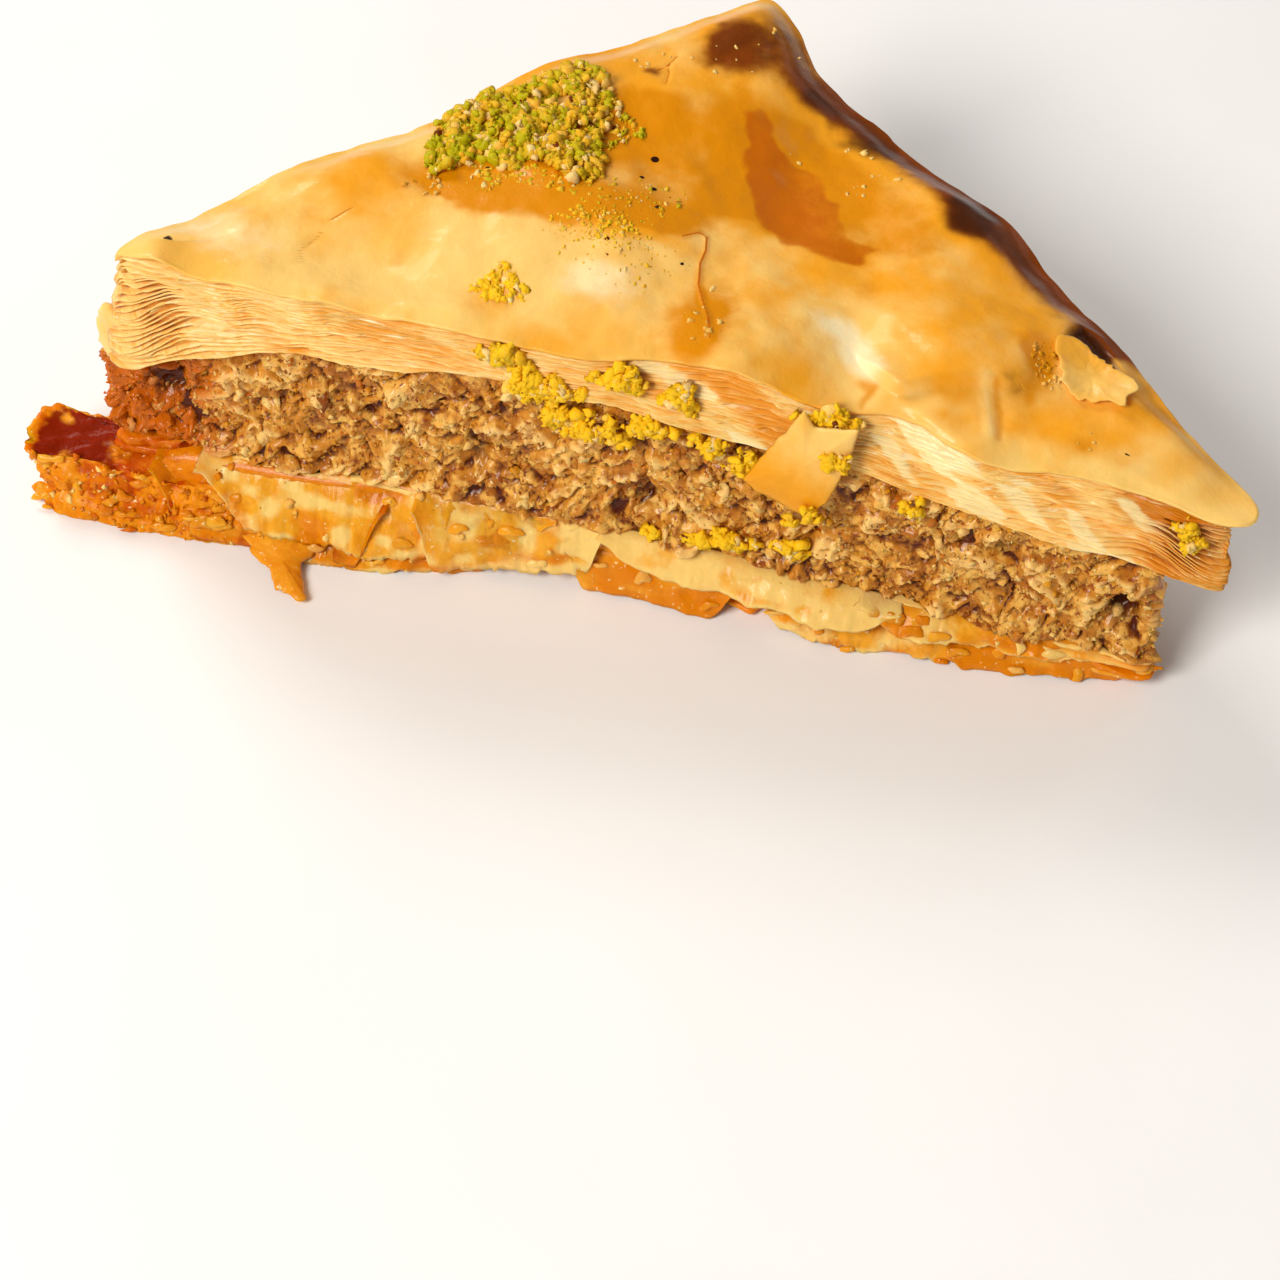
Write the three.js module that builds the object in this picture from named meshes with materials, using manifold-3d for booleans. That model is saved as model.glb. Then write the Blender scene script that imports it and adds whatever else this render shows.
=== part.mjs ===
// A triangular piece of nut baklava: half of a square portion, cut corner to corner.
// Three layers lie on each other: a puffed stack of filo leaves, ground nuts in syrup, and a flatter base of filo
// leaves whose left corner sticks out and curls up. Ground pistachio is strewn over the top and down the long cut
// face, where one loose flake of filo also sticks.
// Millimetres, +Z up. The long cut side lies along X and faces -Y, the square corner points to +Y, and the base
// rests on Z = 0 under the middle of the bounding box.
import * as THREE from "three";
import { mergeVertices } from "three/addons/utils/BufferGeometryUtils.js";
import Module from "manifold-3d";

const wasm = await Module();
wasm.setup();

// ---- Driving dimensions -------------------------------------------------------------------------------------------

// Sharp corners of the top leaf in plan, before they are rounded.
const TOP = { left: -49.8, right: 49.6, front: 0, apexY: 47.6 };
const APEX_X = -2.3;
const CORNER_RADIUS = 1.6;
const INCENTRE = { x: -1.6, y: 20.0 };
const INRADIUS = 20.0;

// Heights along the long side: the piece is baked higher on its left.
const HEIGHT = { left: 30.4, right: 23.9, from: -20, to: 50 };
const BASE_HEIGHT = { left: 7.7, right: 3.9, from: -15, to: 45 };
const STACK = { thinnest: 6.6, at: -2, extra: 3.1, over: 42, leftSag: 1.8, sagFrom: 34, sagTo: 47 };
const LAYER_GAP = 0.3;

// Puffs (rise above 0) and dips (below 0) of the top leaf: centre, reach along X and Y, and rise.
const TOP_SWELLS = [
  { x: 4, y: 0, rx: 5, ry: 7, rise: 0.9 },
  { x: -9, y: 1, rx: 5, ry: 6, rise: -0.8 },
  { x: -34, y: 15, rx: 9, ry: 7, rise: 1.3 },
  { x: -27, y: 6, rx: 6, ry: 6, rise: -0.9 },
  { x: -14, y: 13, rx: 10, ry: 7, rise: 0.8 },
  { x: -18, y: 30, rx: 8, ry: 8, rise: 1.1 },
  { x: 22, y: 12, rx: 8, ry: 6, rise: 1.5 },
  { x: 14, y: 8, rx: 3.5, ry: 7, rise: -1.1 },
  { x: 8, y: 32, rx: 6, ry: 6, rise: -1.6 },
  { x: 21, y: 25, rx: 7, ry: 6, rise: 1.6 },
  { x: 36, y: 12, rx: 7, ry: 5, rise: 1.2 },
  { x: 3, y: 24, rx: 6, ry: 7, rise: -1.0 },
  { x: -3, y: 42, rx: 6, ry: 6, rise: 0.8 },
  { x: -18.2, y: 23, rx: 5, ry: 4, rise: 0.8 },
];

// Stretches of the outline that bulge out or draw in: centre in plan, reach, and how far.
const EDGE_SWELLS = [
  { x: -36, y: 15, reach: 12, out: 1.2 },
  { x: -20, y: 32, reach: 9, out: 1.2 },
  { x: 9, y: 36, reach: 7, out: -1.7 },
  { x: 32, y: 17, reach: 12, out: 1.8 },
];

// Ledges of the flaky stack: how far they step in and out, how they wave up and down in parts of a ledge, how far
// the stack spreads towards its foot, and how much more of that there is at the left corner.
const LEDGES = 7;
const LEDGE_STEP = 0.25;
const LEDGE_WAVE = 0.3;
const FOOT_SPREAD = 0.4;
const LEFT_FLARE = { out: 2.4, reach: 7 };

// How far the top leaf rounds down at its edge: little over the long cut face, more elsewhere.
const DROOP = { front: { fall: 0.5, reach: 1.0 }, back: { fall: 1.7, reach: 2.2 }, top: 0.35 };

// Nut filling: its corners, the crags of the crumb, and hollows where lumps fell out of the long cut face.
const NUTS = { left: -52.8, right: 44.4, front: 0.5, apexY: 46.6, rows: 8 };
const CRAG = { coarse: 2.6, coarseDepth: 0.55, fine: 1.3, fineDepth: 0.3 };
const HOLLOWS = [
  { x: -45.5, z: 14.5, reach: 2.2, deep: 2.4 },
  { x: -17.5, z: 12.5, reach: 1.5, deep: 1.3 },
  { x: -2.5, z: 11.5, reach: 1.7, deep: 1.5 },
  { x: 28.5, z: 14.0, reach: 1.3, deep: 1.3 },
  { x: 38.8, z: 8.4, reach: 1.8, deep: 1.8 },
];

// Base leaves in three groups: the lower ones stick out past the left corner and along the long side. Each group
// fills a share of the base's height and curls up by some millimetres at its left tip.
const FRAYING = { coarse: 0.35, fine: 0.25, wave: 0.2, edge: 0.45, curlReach: 3.2 };
const UPPER = { left: -53.2, right: 45.4, front: -0.9, apexY: 47.2 };
const CRUST_CORNERS = [
  { x: -57.4, y: -4.6, r: 3.2 },
  { x: -26, y: -4.4, r: 6 },
  { x: -11, y: -0.6, r: 5 },
  { x: 3, y: -0.8, r: 5 },
  { x: 14, y: -2.6, r: 6 },
  { x: 32, y: -0.2, r: 6 },
  { x: 44.4, y: 0.4, r: 2 },
  { x: APEX_X, y: TOP.apexY, r: 2.2 },
  { x: -50.5, y: 2.6, r: 3 },
  { x: -57.2, y: 3.0, r: 2 },
];
const MIDDLE_CORNERS = [
  { x: -59.4, y: -3.4, r: 2.6 },
  { x: -22, y: -2.8, r: 6 },
  { x: 44.8, y: 0.2, r: 2 },
  { x: APEX_X, y: TOP.apexY, r: 2.2 },
  { x: -50.5, y: 2.0, r: 3 },
  { x: -58.8, y: 2.6, r: 1.6 },
];

const BASE_GROUPS = [
  { corners: CRUST_CORNERS, low: 0, high: 0.44, phase: 0.4, curl: 0.6 },
  { corners: MIDDLE_CORNERS, low: 0.36, high: 0.76, phase: 1.9, curl: 2.0 },
  { corners: triangle(UPPER), low: 0.67, high: 1, phase: 3.3, curl: 0 },
];

// Edges and bumps smaller than this are smoothed away once solids are joined.
const SLIVER = 0.02;

// Insets of the rings of the top leaf, and of the rings inside each seam.
const TOP_RINGS = [0, 0.6, 1.6, 3.0, 5.0, 7.5, 10.5, 14.5];
const SEAM_INSETS = [2.5, 8];

// Outline points for each layer's rings.
const STACK_POINTS = 88;
const FILLING_POINTS = 96;
const BASE_POINTS = 64;

// Ground pistachio: heaps on the top leaf and down the long cut face.
const CRUMB = { smallest: 0.42, largest: 0.8 };
const SUNK = 0.2;
const GOLDEN_ANGLE = Math.PI * (3 - Math.sqrt(5));
const TOP_HEAPS = [
  { x: -18.2, y: 23.0, rx: 7.6, ry: 5.6, count: 58, piled: 1.1 },
  { x: -10, y: 12.5, rx: 6, ry: 3.2, count: 11, piled: 0.2 },
  { x: -16, y: 5.0, rx: 1.8, ry: 1.5, count: 6, piled: 0.3 },
];
const FACE_HEAPS = [
  { x: -13.6, z: 27.2, rx: 2.8, rz: 1.1, count: 7, on: "stack" },
  { x: -12.4, z: 20.9, rx: 1.8, rz: 1.3, count: 4, on: "filling" },
  { x: -5.6, z: 19.6, rx: 2.8, rz: 1.8, count: 6, on: "filling" },
  { x: -3.2, z: 26.2, rx: 2.2, rz: 0.9, count: 3, on: "stack" },
  { x: 1.5, z: 26.2, rx: 0.9, rz: 1.4, count: 2, on: "stack" },
  { x: 3.2, z: 9.0, rx: 4.5, rz: 0.6, count: 5, on: "filling" },
  { x: 11.8, z: 9.6, rx: 1.3, rz: 1.4, count: 3, on: "filling" },
  { x: 43.6, z: 20.2, rx: 0.8, rz: 0.8, count: 1, on: "stack" },
];

// Thin torn leaves: their corners in order, thickness, bow and how finely they are split. The flap is lifted off the
// top leaf, the hanging flake droops from the base, and the loose flake leans on the long cut face.
const TORN_FLAP = {
  corners: [
    { x: 30.4, y: 9.2, above: 0 },
    { x: 35.6, y: 7.0, above: 0.7 },
    { x: 37.4, y: 10.2, above: 1.1 },
    { x: 32.4, y: 14.2, above: 0.4 },
  ],
  thickness: 0.5,
  bow: 0.5,
  steps: 4,
};
const HANGING_FLAKE = {
  corners: [
    { x: -36.5, y: -3.6, z: 1.4 },
    { x: -31.8, y: -9.2, z: 0.7 },
    { x: -30.4, y: -9.0, z: 0.7 },
    { x: -30.0, y: -3.4, z: 1.4 },
  ],
  thickness: 0.8,
  bow: 0.3,
  steps: 3,
};
const LOOSE_FLAKE = {
  corners: [
    { x: 6.4, y: -1.3, z: 19.0 },
    { x: 12.4, y: -1.5, z: 15.9 },
    { x: 16.4, y: -2.9, z: 27.2 },
    { x: 10.8, y: -1.5, z: 27.8 },
  ],
  thickness: 0.5,
  bow: 0.4,
  steps: 6,
};

const COLOURS = { crust: 0xe3a94a, nuts: 0xa97b48, soaked: 0xd98f2e, flake: 0xf0b64a };

// ---- Shape functions ----------------------------------------------------------------------------------------------

const smoothstep = THREE.MathUtils.smoothstep;
const lerp = THREE.MathUtils.lerp;
const bell = (distance) => Math.exp(-distance * distance);

// Height of the top leaf along the long side, before puffs and dips.
const topLine = (x) => lerp(HEIGHT.left, HEIGHT.right, smoothstep(x, HEIGHT.from, HEIGHT.to));

// Height of the seam between base and nuts.
const baseTop = (x) => lerp(BASE_HEIGHT.left, BASE_HEIGHT.right, smoothstep(x, BASE_HEIGHT.from, BASE_HEIGHT.to));

// Height of the seam between nuts and stack: the stack is thinnest near the middle and sags over the left corner.
function stackBottom(x) {
  const spread = STACK.extra * ((x - STACK.at) / STACK.over) ** 2;
  return topLine(x) - STACK.thinnest - spread - STACK.leftSag * smoothstep(-x, STACK.sagFrom, STACK.sagTo);
}

function topHeight(x, y) {
  return TOP_SWELLS.reduce(
    (z, s) => z + s.rise * bell(Math.hypot((x - s.x) / s.rx, (y - s.y) / s.ry)),
    topLine(x),
  );
}

const edgeSwell = (x, y) =>
  EDGE_SWELLS.reduce((out, s) => out + s.out * bell(Math.hypot(x - s.x, y - s.y) / s.reach), 0);

// Seeded random numbers from 0 to 1.
function seeded(seed) {
  let state = seed;
  return () => {
    state = (state + 0x6d2b79f5) | 0;
    let t = Math.imul(state ^ (state >>> 15), 1 | state);
    t = (t + Math.imul(t ^ (t >>> 7), 61 | t)) ^ t;
    return ((t ^ (t >>> 14)) >>> 0) / 4294967296;
  };
}

// A number from -1 to 1 for a whole-number cell, and its smooth blend between cells.
const cellValue = (i, j) => seeded(i * 7919 + j * 104729 + 17)() * 2 - 1;

function crumbNoise(u, v) {
  const [i, j] = [Math.floor(u), Math.floor(v)];
  const [s, t] = [smoothstep(u - i, 0, 1), smoothstep(v - j, 0, 1)];
  return lerp(
    lerp(cellValue(i, j), cellValue(i + 1, j), s),
    lerp(cellValue(i, j + 1), cellValue(i + 1, j + 1), s),
    t,
  );
}

// ---- Outlines and rings -------------------------------------------------------------------------------------------

// A closed outline through corners {x, y, r}, each rounded by a curve of reach r, as evenly spaced points that run
// anticlockwise, each with its outward normal and its distance along the outline.
function outline(corners, count) {
  const path = new THREE.Path();
  corners.forEach((c, i) => {
    const before = corners[(i + corners.length - 1) % corners.length];
    const after = corners[(i + 1) % corners.length];
    const point = new THREE.Vector2(c.x, c.y);
    const towards = (o) => new THREE.Vector2(o.x, o.y).sub(point).setLength(c.r).add(point);
    const [enter, leave] = [towards(before), towards(after)];
    if (i === 0) path.moveTo(enter.x, enter.y);
    else path.lineTo(enter.x, enter.y);
    path.quadraticCurveTo(c.x, c.y, leave.x, leave.y);
  });
  path.closePath();
  const points = path.getSpacedPoints(count).slice(0, count);
  const step = path.getLength() / count;
  return points.map((p, i) => {
    const ahead = points[(i + 1) % count];
    const behind = points[(i + count - 1) % count];
    const along = ahead.clone().sub(behind).normalize();
    return { x: p.x, y: p.y, nx: along.y, ny: -along.x, s: i * step };
  });
}

// Corners of a layer's triangular outline. The sharp corners at both ends of the long side are rounded further back.
function triangle({ left, right, front, apexY }) {
  return [
    { x: left, y: front, r: 2.4 * CORNER_RADIUS },
    { x: right, y: front, r: 2.4 * CORNER_RADIUS },
    { x: APEX_X, y: apexY, r: CORNER_RADIUS },
  ];
}

// A solid of Manifold from rings of points, bottom first, closed by a fan at each end. Rings run anticlockwise.
function ringSolid(rings, bottomCentre, topCentre) {
  const count = rings[0].length;
  const vertices = rings.flat().concat([bottomCentre, topCentre]);
  const bottom = rings.length * count;
  const faces = [];
  for (let k = 0; k + 1 < rings.length; k++)
    for (let i = 0; i < count; i++) {
      const [a, b] = [k * count + i, k * count + ((i + 1) % count)];
      faces.push([a, b, b + count], [a, b + count, a + count]);
    }
  for (let i = 0; i < count; i++) {
    const next = (i + 1) % count;
    faces.push([bottom, next, i], [bottom + 1, bottom - count + i, bottom - count + next]);
  }
  return solidFrom(vertices, faces);
}

function solidFrom(vertices, faces) {
  return new wasm.Manifold(
    new wasm.Mesh({
      numProp: 3,
      vertProperties: new Float32Array(vertices.flat()),
      triVerts: new Uint32Array(faces.flat()),
    }),
  );
}

// A mesh from a Manifold solid.
function meshOf(name, solid, colour, roughness) {
  const { vertProperties, triVerts } = solid.getMesh();
  const geometry = new THREE.BufferGeometry()
    .setAttribute("position", new THREE.BufferAttribute(new Float32Array(vertProperties), 3))
    .setIndex(new THREE.BufferAttribute(new Uint32Array(triVerts), 1));
  geometry.computeVertexNormals();
  const material = new THREE.MeshStandardMaterial({ color: colour, roughness, metalness: 0 });
  const mesh = new THREE.Mesh(geometry, material);
  mesh.name = name;
  return mesh;
}

// Solids of one node, joined, without slivers or any scrap that touches nothing.
function joined(solids) {
  const all = wasm.Manifold.union(solids).simplify(SLIVER);
  return all.decompose().reduce((big, s) => (s.volume() > big.volume() ? s : big));
}

// ---- Crumbs and flakes --------------------------------------------------------------------------------------------

// One crumb: an uneven twenty-sided lump, turned at random.
function crumb(centre, radius, random) {
  const lump = new THREE.IcosahedronGeometry(radius, 0);
  lump.deleteAttribute("normal");
  lump.deleteAttribute("uv");
  const geometry = mergeVertices(lump, 1e-3);
  const turn = new THREE.Euler(random() * 6.28, random() * 6.28, random() * 6.28);
  const position = geometry.getAttribute("position");
  const vertices = [];
  for (let i = 0; i < position.count; i++) {
    const p = new THREE.Vector3().fromBufferAttribute(position, i).multiplyScalar(0.8 + 0.4 * random());
    vertices.push(p.applyEuler(turn).add(centre).toArray());
  }
  return solidFrom(vertices, [Array.from(geometry.getIndex().array)]);
}

const crumbRadius = (random) => lerp(CRUMB.smallest, CRUMB.largest, random() ** 1.5);

// Places in a round heap, evenly spread by the golden angle: {right, up} from -1 to 1, and spread from 0 to 1.
function heapPlaces(count, random) {
  return Array.from({ length: count }, (_, i) => {
    const spread = Math.sqrt((i + 0.5) / count);
    const angle = i * GOLDEN_ANGLE + 0.6 * random();
    return { right: spread * Math.cos(angle), up: spread * Math.sin(angle), spread };
  });
}

// Crumbs strewn over the top leaf, piled highest in the middle of each heap.
function topCrumbs() {
  const random = seeded(11);
  return TOP_HEAPS.flatMap((heap) =>
    heapPlaces(heap.count, random).map(({ right, up, spread }) => {
      const [x, y] = [heap.x + heap.rx * right, heap.y + heap.ry * up];
      const pile = 0.5 * heap.piled * (1 - spread * spread) * random();
      const radius = crumbRadius(random) * (1 + pile);
      return crumb(new THREE.Vector3(x, y, topHeight(x, y) + 0.25 * radius + pile), radius, random);
    }),
  );
}

// Crumbs stuck to the long cut face of one layer.
function faceCrumbs(on, faceY) {
  const random = seeded(23);
  return FACE_HEAPS.filter((heap) => heap.on === on).flatMap((heap) =>
    heapPlaces(heap.count, random).map(({ right, up }) => {
      const radius = crumbRadius(random);
      const centre = new THREE.Vector3(heap.x + heap.rx * right, faceY - 0.2 * radius, heap.z + heap.rz * up);
      return crumb(centre, radius, random);
    }),
  );
}

// A thin curved leaf of filo between four corners, {x, y, z} each, with its middle bowed along its normal. Both
// faces are split alike.
function leaf({ corners, thickness, bow, steps }) {
  const [a, b, c, d] = corners.map((p) => new THREE.Vector3(p.x, p.y, p.z));
  const normal = new THREE.Vector3().crossVectors(c.clone().sub(a), d.clone().sub(b)).normalize();
  const count = steps + 1;
  const vertices = [];
  for (const side of [-0.5, 0.5])
    for (let i = 0; i < count; i++)
      for (let j = 0; j < count; j++) {
        const [u, v] = [i / steps, j / steps];
        const p = a.clone().lerp(b, u).lerp(d.clone().lerp(c, u), v);
        const lift = bow * Math.sin(Math.PI * u) * Math.sin(Math.PI * v) + 0.12 * Math.sin(9 * u + 4 * v);
        vertices.push(p.addScaledVector(normal, lift + side * thickness).toArray());
      }
  const at = (side, i, j) => side * count * count + i * count + j;
  const faces = [];
  for (let i = 0; i < steps; i++)
    for (let j = 0; j < steps; j++)
      for (const side of [0, 1]) {
        const q = [at(side, i, j), at(side, i + 1, j), at(side, i + 1, j + 1), at(side, i, j + 1)];
        if (side === 0) q.reverse();
        faces.push([q[0], q[1], q[2]], [q[0], q[2], q[3]]);
      }
  for (let k = 0; k < steps; k++)
    for (const [p, q] of [
      [[k, 0], [k + 1, 0]],
      [[steps, k], [steps, k + 1]],
      [[steps - k, steps], [steps - k - 1, steps]],
      [[0, steps - k], [0, steps - k - 1]],
    ])
      faces.push([at(0, ...p), at(0, ...q), at(1, ...q)], [at(0, ...p), at(1, ...q), at(1, ...p)]);
  return solidFrom(vertices, faces);
}

// ---- The layers ---------------------------------------------------------------------------------------------------

// A point of the outline, moved in towards the middle by an inset and then out along its normal.
function placed(p, inset, out) {
  const k = 1 - inset / INRADIUS;
  return [
    INCENTRE.x + (p.x - INCENTRE.x) * k + p.nx * out,
    INCENTRE.y + (p.y - INCENTRE.y) * k + p.ny * out,
  ];
}

// Rings of a seam between two layers, that lie on a height that depends on x, from the side inwards.
function seamRings(points, height) {
  return SEAM_INSETS.map((inset) =>
    points.map((p) => {
      const [x, y] = placed(p, inset, edgeSwell(p.x, p.y));
      return [x, y, height(x)];
    }),
  );
}

// How far the top leaf has come down, a distance in from its edge.
function edgeDroop(inset, front) {
  const { fall, reach } = front ? DROOP.front : DROOP.back;
  return fall * bell(inset / reach);
}

const middleOf = (height) => [INCENTRE.x, INCENTRE.y, height];
const stackFloor = (x) => stackBottom(x) + LAYER_GAP / 2;
const nutCeiling = (x) => stackBottom(x) - LAYER_GAP / 2;
const nutFloor = (x) => baseTop(x) + LAYER_GAP / 2;
const baseCeiling = (x) => baseTop(x) - LAYER_GAP / 2;

// Whether a point of the outline lies on the long cut face.
const isFront = (p) => p.ny < -0.9;

// One edge of a ledge of the stack: j counts ledges from below, end runs from 0 at its lower edge to 1.
function ledgeRing(points, j, end) {
  return points.map((p) => {
    const wave = j > 0 || end > 0.5 ? LEDGE_WAVE * Math.sin(0.31 * p.s + 1.7 * j) : 0;
    const level = THREE.MathUtils.clamp((j + end + wave) / LEDGES, 0, 1);
    const flare = (1 - level) * (FOOT_SPREAD + LEFT_FLARE.out * bell((p.x - TOP.left) / LEFT_FLARE.reach));
    const step = LEDGE_STEP * (Math.sin(2.4 * j + 0.7) + Math.sin(0.42 * p.s + 1.9 * j));
    const [x, y] = placed(p, 0, edgeSwell(p.x, p.y) + flare + step);
    return [x, y, lerp(stackFloor(x), topHeight(x, y) - edgeDroop(0, isFront(p)) - DROOP.top, level)];
  });
}

function filoStack() {
  const points = outline(triangle(TOP), STACK_POINTS);
  const rings = seamRings(points, stackFloor).reverse();
  for (let j = 0; j < LEDGES; j++) rings.push(ledgeRing(points, j, 0.04), ledgeRing(points, j, 0.96));
  for (const inset of TOP_RINGS)
    rings.push(
      points.map((p) => {
        const [x, y] = placed(p, inset, edgeSwell(p.x, p.y) * (1 - inset / INRADIUS));
        return [x, y, topHeight(x, y) - edgeDroop(inset, isFront(p))];
      }),
    );
  const peak = topHeight(INCENTRE.x, INCENTRE.y);
  const stack = ringSolid(rings, middleOf(stackFloor(INCENTRE.x)), middleOf(peak));
  const onTop = TORN_FLAP.corners.map(({ x, y, above }) => ({ x, y, z: topHeight(x, y) + above }));
  const tornFlap = leaf({ ...TORN_FLAP, corners: onTop });
  return joined([stack, tornFlap, ...topCrumbs(), ...faceCrumbs("stack", TOP.front - SUNK)]);
}

// How far the side of the filling stands out at a point: crags everywhere, hollows in the long cut face.
function cragged(p, z) {
  const crags =
    CRAG.coarseDepth * crumbNoise(p.s / CRAG.coarse, z / CRAG.coarse) +
    CRAG.fineDepth * crumbNoise(40 + p.s / CRAG.fine, z / CRAG.fine);
  const hollow = (h) => (p.ny < 0 ? h.deep * bell(Math.hypot(p.x - h.x, z - h.z) / h.reach) : 0);
  return edgeSwell(p.x, p.y) + crags - HOLLOWS.reduce((sum, h) => sum + hollow(h), 0);
}

function nutFilling() {
  const points = outline(triangle(NUTS), FILLING_POINTS);
  const rings = seamRings(points, nutFloor).reverse();
  for (let k = 0; k <= NUTS.rows; k++)
    rings.push(
      points.map((p) => {
        const level = k / NUTS.rows;
        const [x, y] = placed(p, 0, cragged(p, lerp(nutFloor(p.x), nutCeiling(p.x), level)));
        return [x, y, lerp(nutFloor(x), nutCeiling(x), level)];
      }),
    );
  rings.push(...seamRings(points, nutCeiling));
  const core = ringSolid(rings, middleOf(nutFloor(INCENTRE.x)), middleOf(nutCeiling(INCENTRE.x)));
  return joined([core, ...faceCrumbs("filling", NUTS.front - SUNK)]);
}

// One group of base leaves, frayed along its outline and rounded at its upper and lower edges.
function leafGroup({ corners, low, high, phase, curl }) {
  const points = outline(corners, BASE_POINTS);
  const tip = points.reduce((far, p) => (p.x < far.x ? p : far));
  const heightAt = (x, level) => (level === 1 ? baseCeiling(x) : baseTop(x) * level);
  const rings = [low, lerp(low, high, 0.15), lerp(low, high, 0.85), high].map((level) =>
    points.map((p) => {
      const frayed = FRAYING.coarse * Math.sin(0.55 * p.s + phase) + FRAYING.fine * Math.sin(1.37 * p.s + 2 * phase);
      const rounded = level === low || level === high ? FRAYING.edge : 0;
      const [x, y] = placed(p, 0, edgeSwell(p.x, p.y) + frayed - rounded);
      const lift = curl * bell(Math.hypot(p.x - tip.x, p.y - tip.y) / FRAYING.curlReach);
      const wave = level < 1 ? FRAYING.wave * Math.sin(0.4 * p.s + phase) : 0;
      return [x, y, heightAt(x, level) + (level > 0 ? lift + wave : 0)];
    }),
  );
  if (high === 1) rings.push(...seamRings(points, baseCeiling));
  return ringSolid(rings, middleOf(heightAt(INCENTRE.x, low)), middleOf(heightAt(INCENTRE.x, high)));
}

const filoBase = () => joined([...BASE_GROUPS.map(leafGroup), leaf(HANGING_FLAKE)]);

// ---- The piece ----------------------------------------------------------------------------------------------------

const piece = new THREE.Group();
piece.add(meshOf("filo_base", filoBase(), COLOURS.soaked, 0.4));
piece.add(meshOf("nut_filling", nutFilling(), COLOURS.nuts, 0.6));
piece.add(meshOf("filo_stack", filoStack(), COLOURS.crust, 0.25));
piece.add(meshOf("loose_flake", leaf(LOOSE_FLAKE), COLOURS.flake, 0.35));

const middle = new THREE.Box3().setFromObject(piece).getCenter(new THREE.Vector3());
piece.position.set(-middle.x, -middle.y, 0);

const baklava = new THREE.Group();
baklava.add(piece);

export default baklava;
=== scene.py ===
"""A triangular piece of nut baklava on a pale floor: glazed filo leaves over ground nuts on a soaked base.

Shapes are worked out in the piece's own millimetres: the long cut side lies along X at y = 0 and faces -Y, the
square corner points to +Y, and the base rests on z = 0. Baklava.to_frame turns them into the frame's metres.
"""

from __future__ import annotations

import logging
import math
from dataclasses import dataclass, field, replace
from enum import Enum
from typing import Any, Callable, Sequence

import bpy
import numpy as np
from mathutils import Matrix, Vector

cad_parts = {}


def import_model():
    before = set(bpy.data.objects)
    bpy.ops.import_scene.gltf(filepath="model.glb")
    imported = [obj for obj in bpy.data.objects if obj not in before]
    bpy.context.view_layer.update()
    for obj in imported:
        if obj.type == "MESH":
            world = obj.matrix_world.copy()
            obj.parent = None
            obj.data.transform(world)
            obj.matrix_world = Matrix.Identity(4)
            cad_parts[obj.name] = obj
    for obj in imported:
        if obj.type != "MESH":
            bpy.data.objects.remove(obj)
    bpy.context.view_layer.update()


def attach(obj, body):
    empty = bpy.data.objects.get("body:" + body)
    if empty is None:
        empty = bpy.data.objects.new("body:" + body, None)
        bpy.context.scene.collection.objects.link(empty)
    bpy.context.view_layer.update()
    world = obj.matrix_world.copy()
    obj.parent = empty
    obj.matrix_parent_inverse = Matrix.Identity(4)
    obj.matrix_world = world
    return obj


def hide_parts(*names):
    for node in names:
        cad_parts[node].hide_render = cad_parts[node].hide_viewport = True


Array = np.ndarray
# A row of numbers, and a table of rows.
Row = tuple[float, ...]
Rows = tuple[Row, ...]
Thing = bpy.types.Object
Material = bpy.types.Material
Socket = bpy.types.NodeSocket
Tree = bpy.types.NodeTree
LOG = logging.getLogger("baklava")
MM = 0.001
# Large primes that scatter the bits of whole numbers.
SCATTER = (2654435761, 2246822519, 3266489917)


# ---- Small mathematics ---------------------------------------------------------------------------


def ease(value: Array, low: float, high: float) -> Array:
    """Smooth rise from 0 at low to 1 at high."""
    t = np.clip((value - low) / (high - low), 0.0, 1.0)
    return t * t * (3.0 - 2.0 * t)


def bell(distance: Array) -> Array:
    """Bell curve: 1 at distance 0, falling to almost 0 at distance 2."""
    return np.exp(-np.square(distance))


def mix(a: Array, b: Array, share: Array) -> Array:
    """Straight blend from a at share 0 to b at share 1."""
    return a + (b - a) * share


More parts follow.
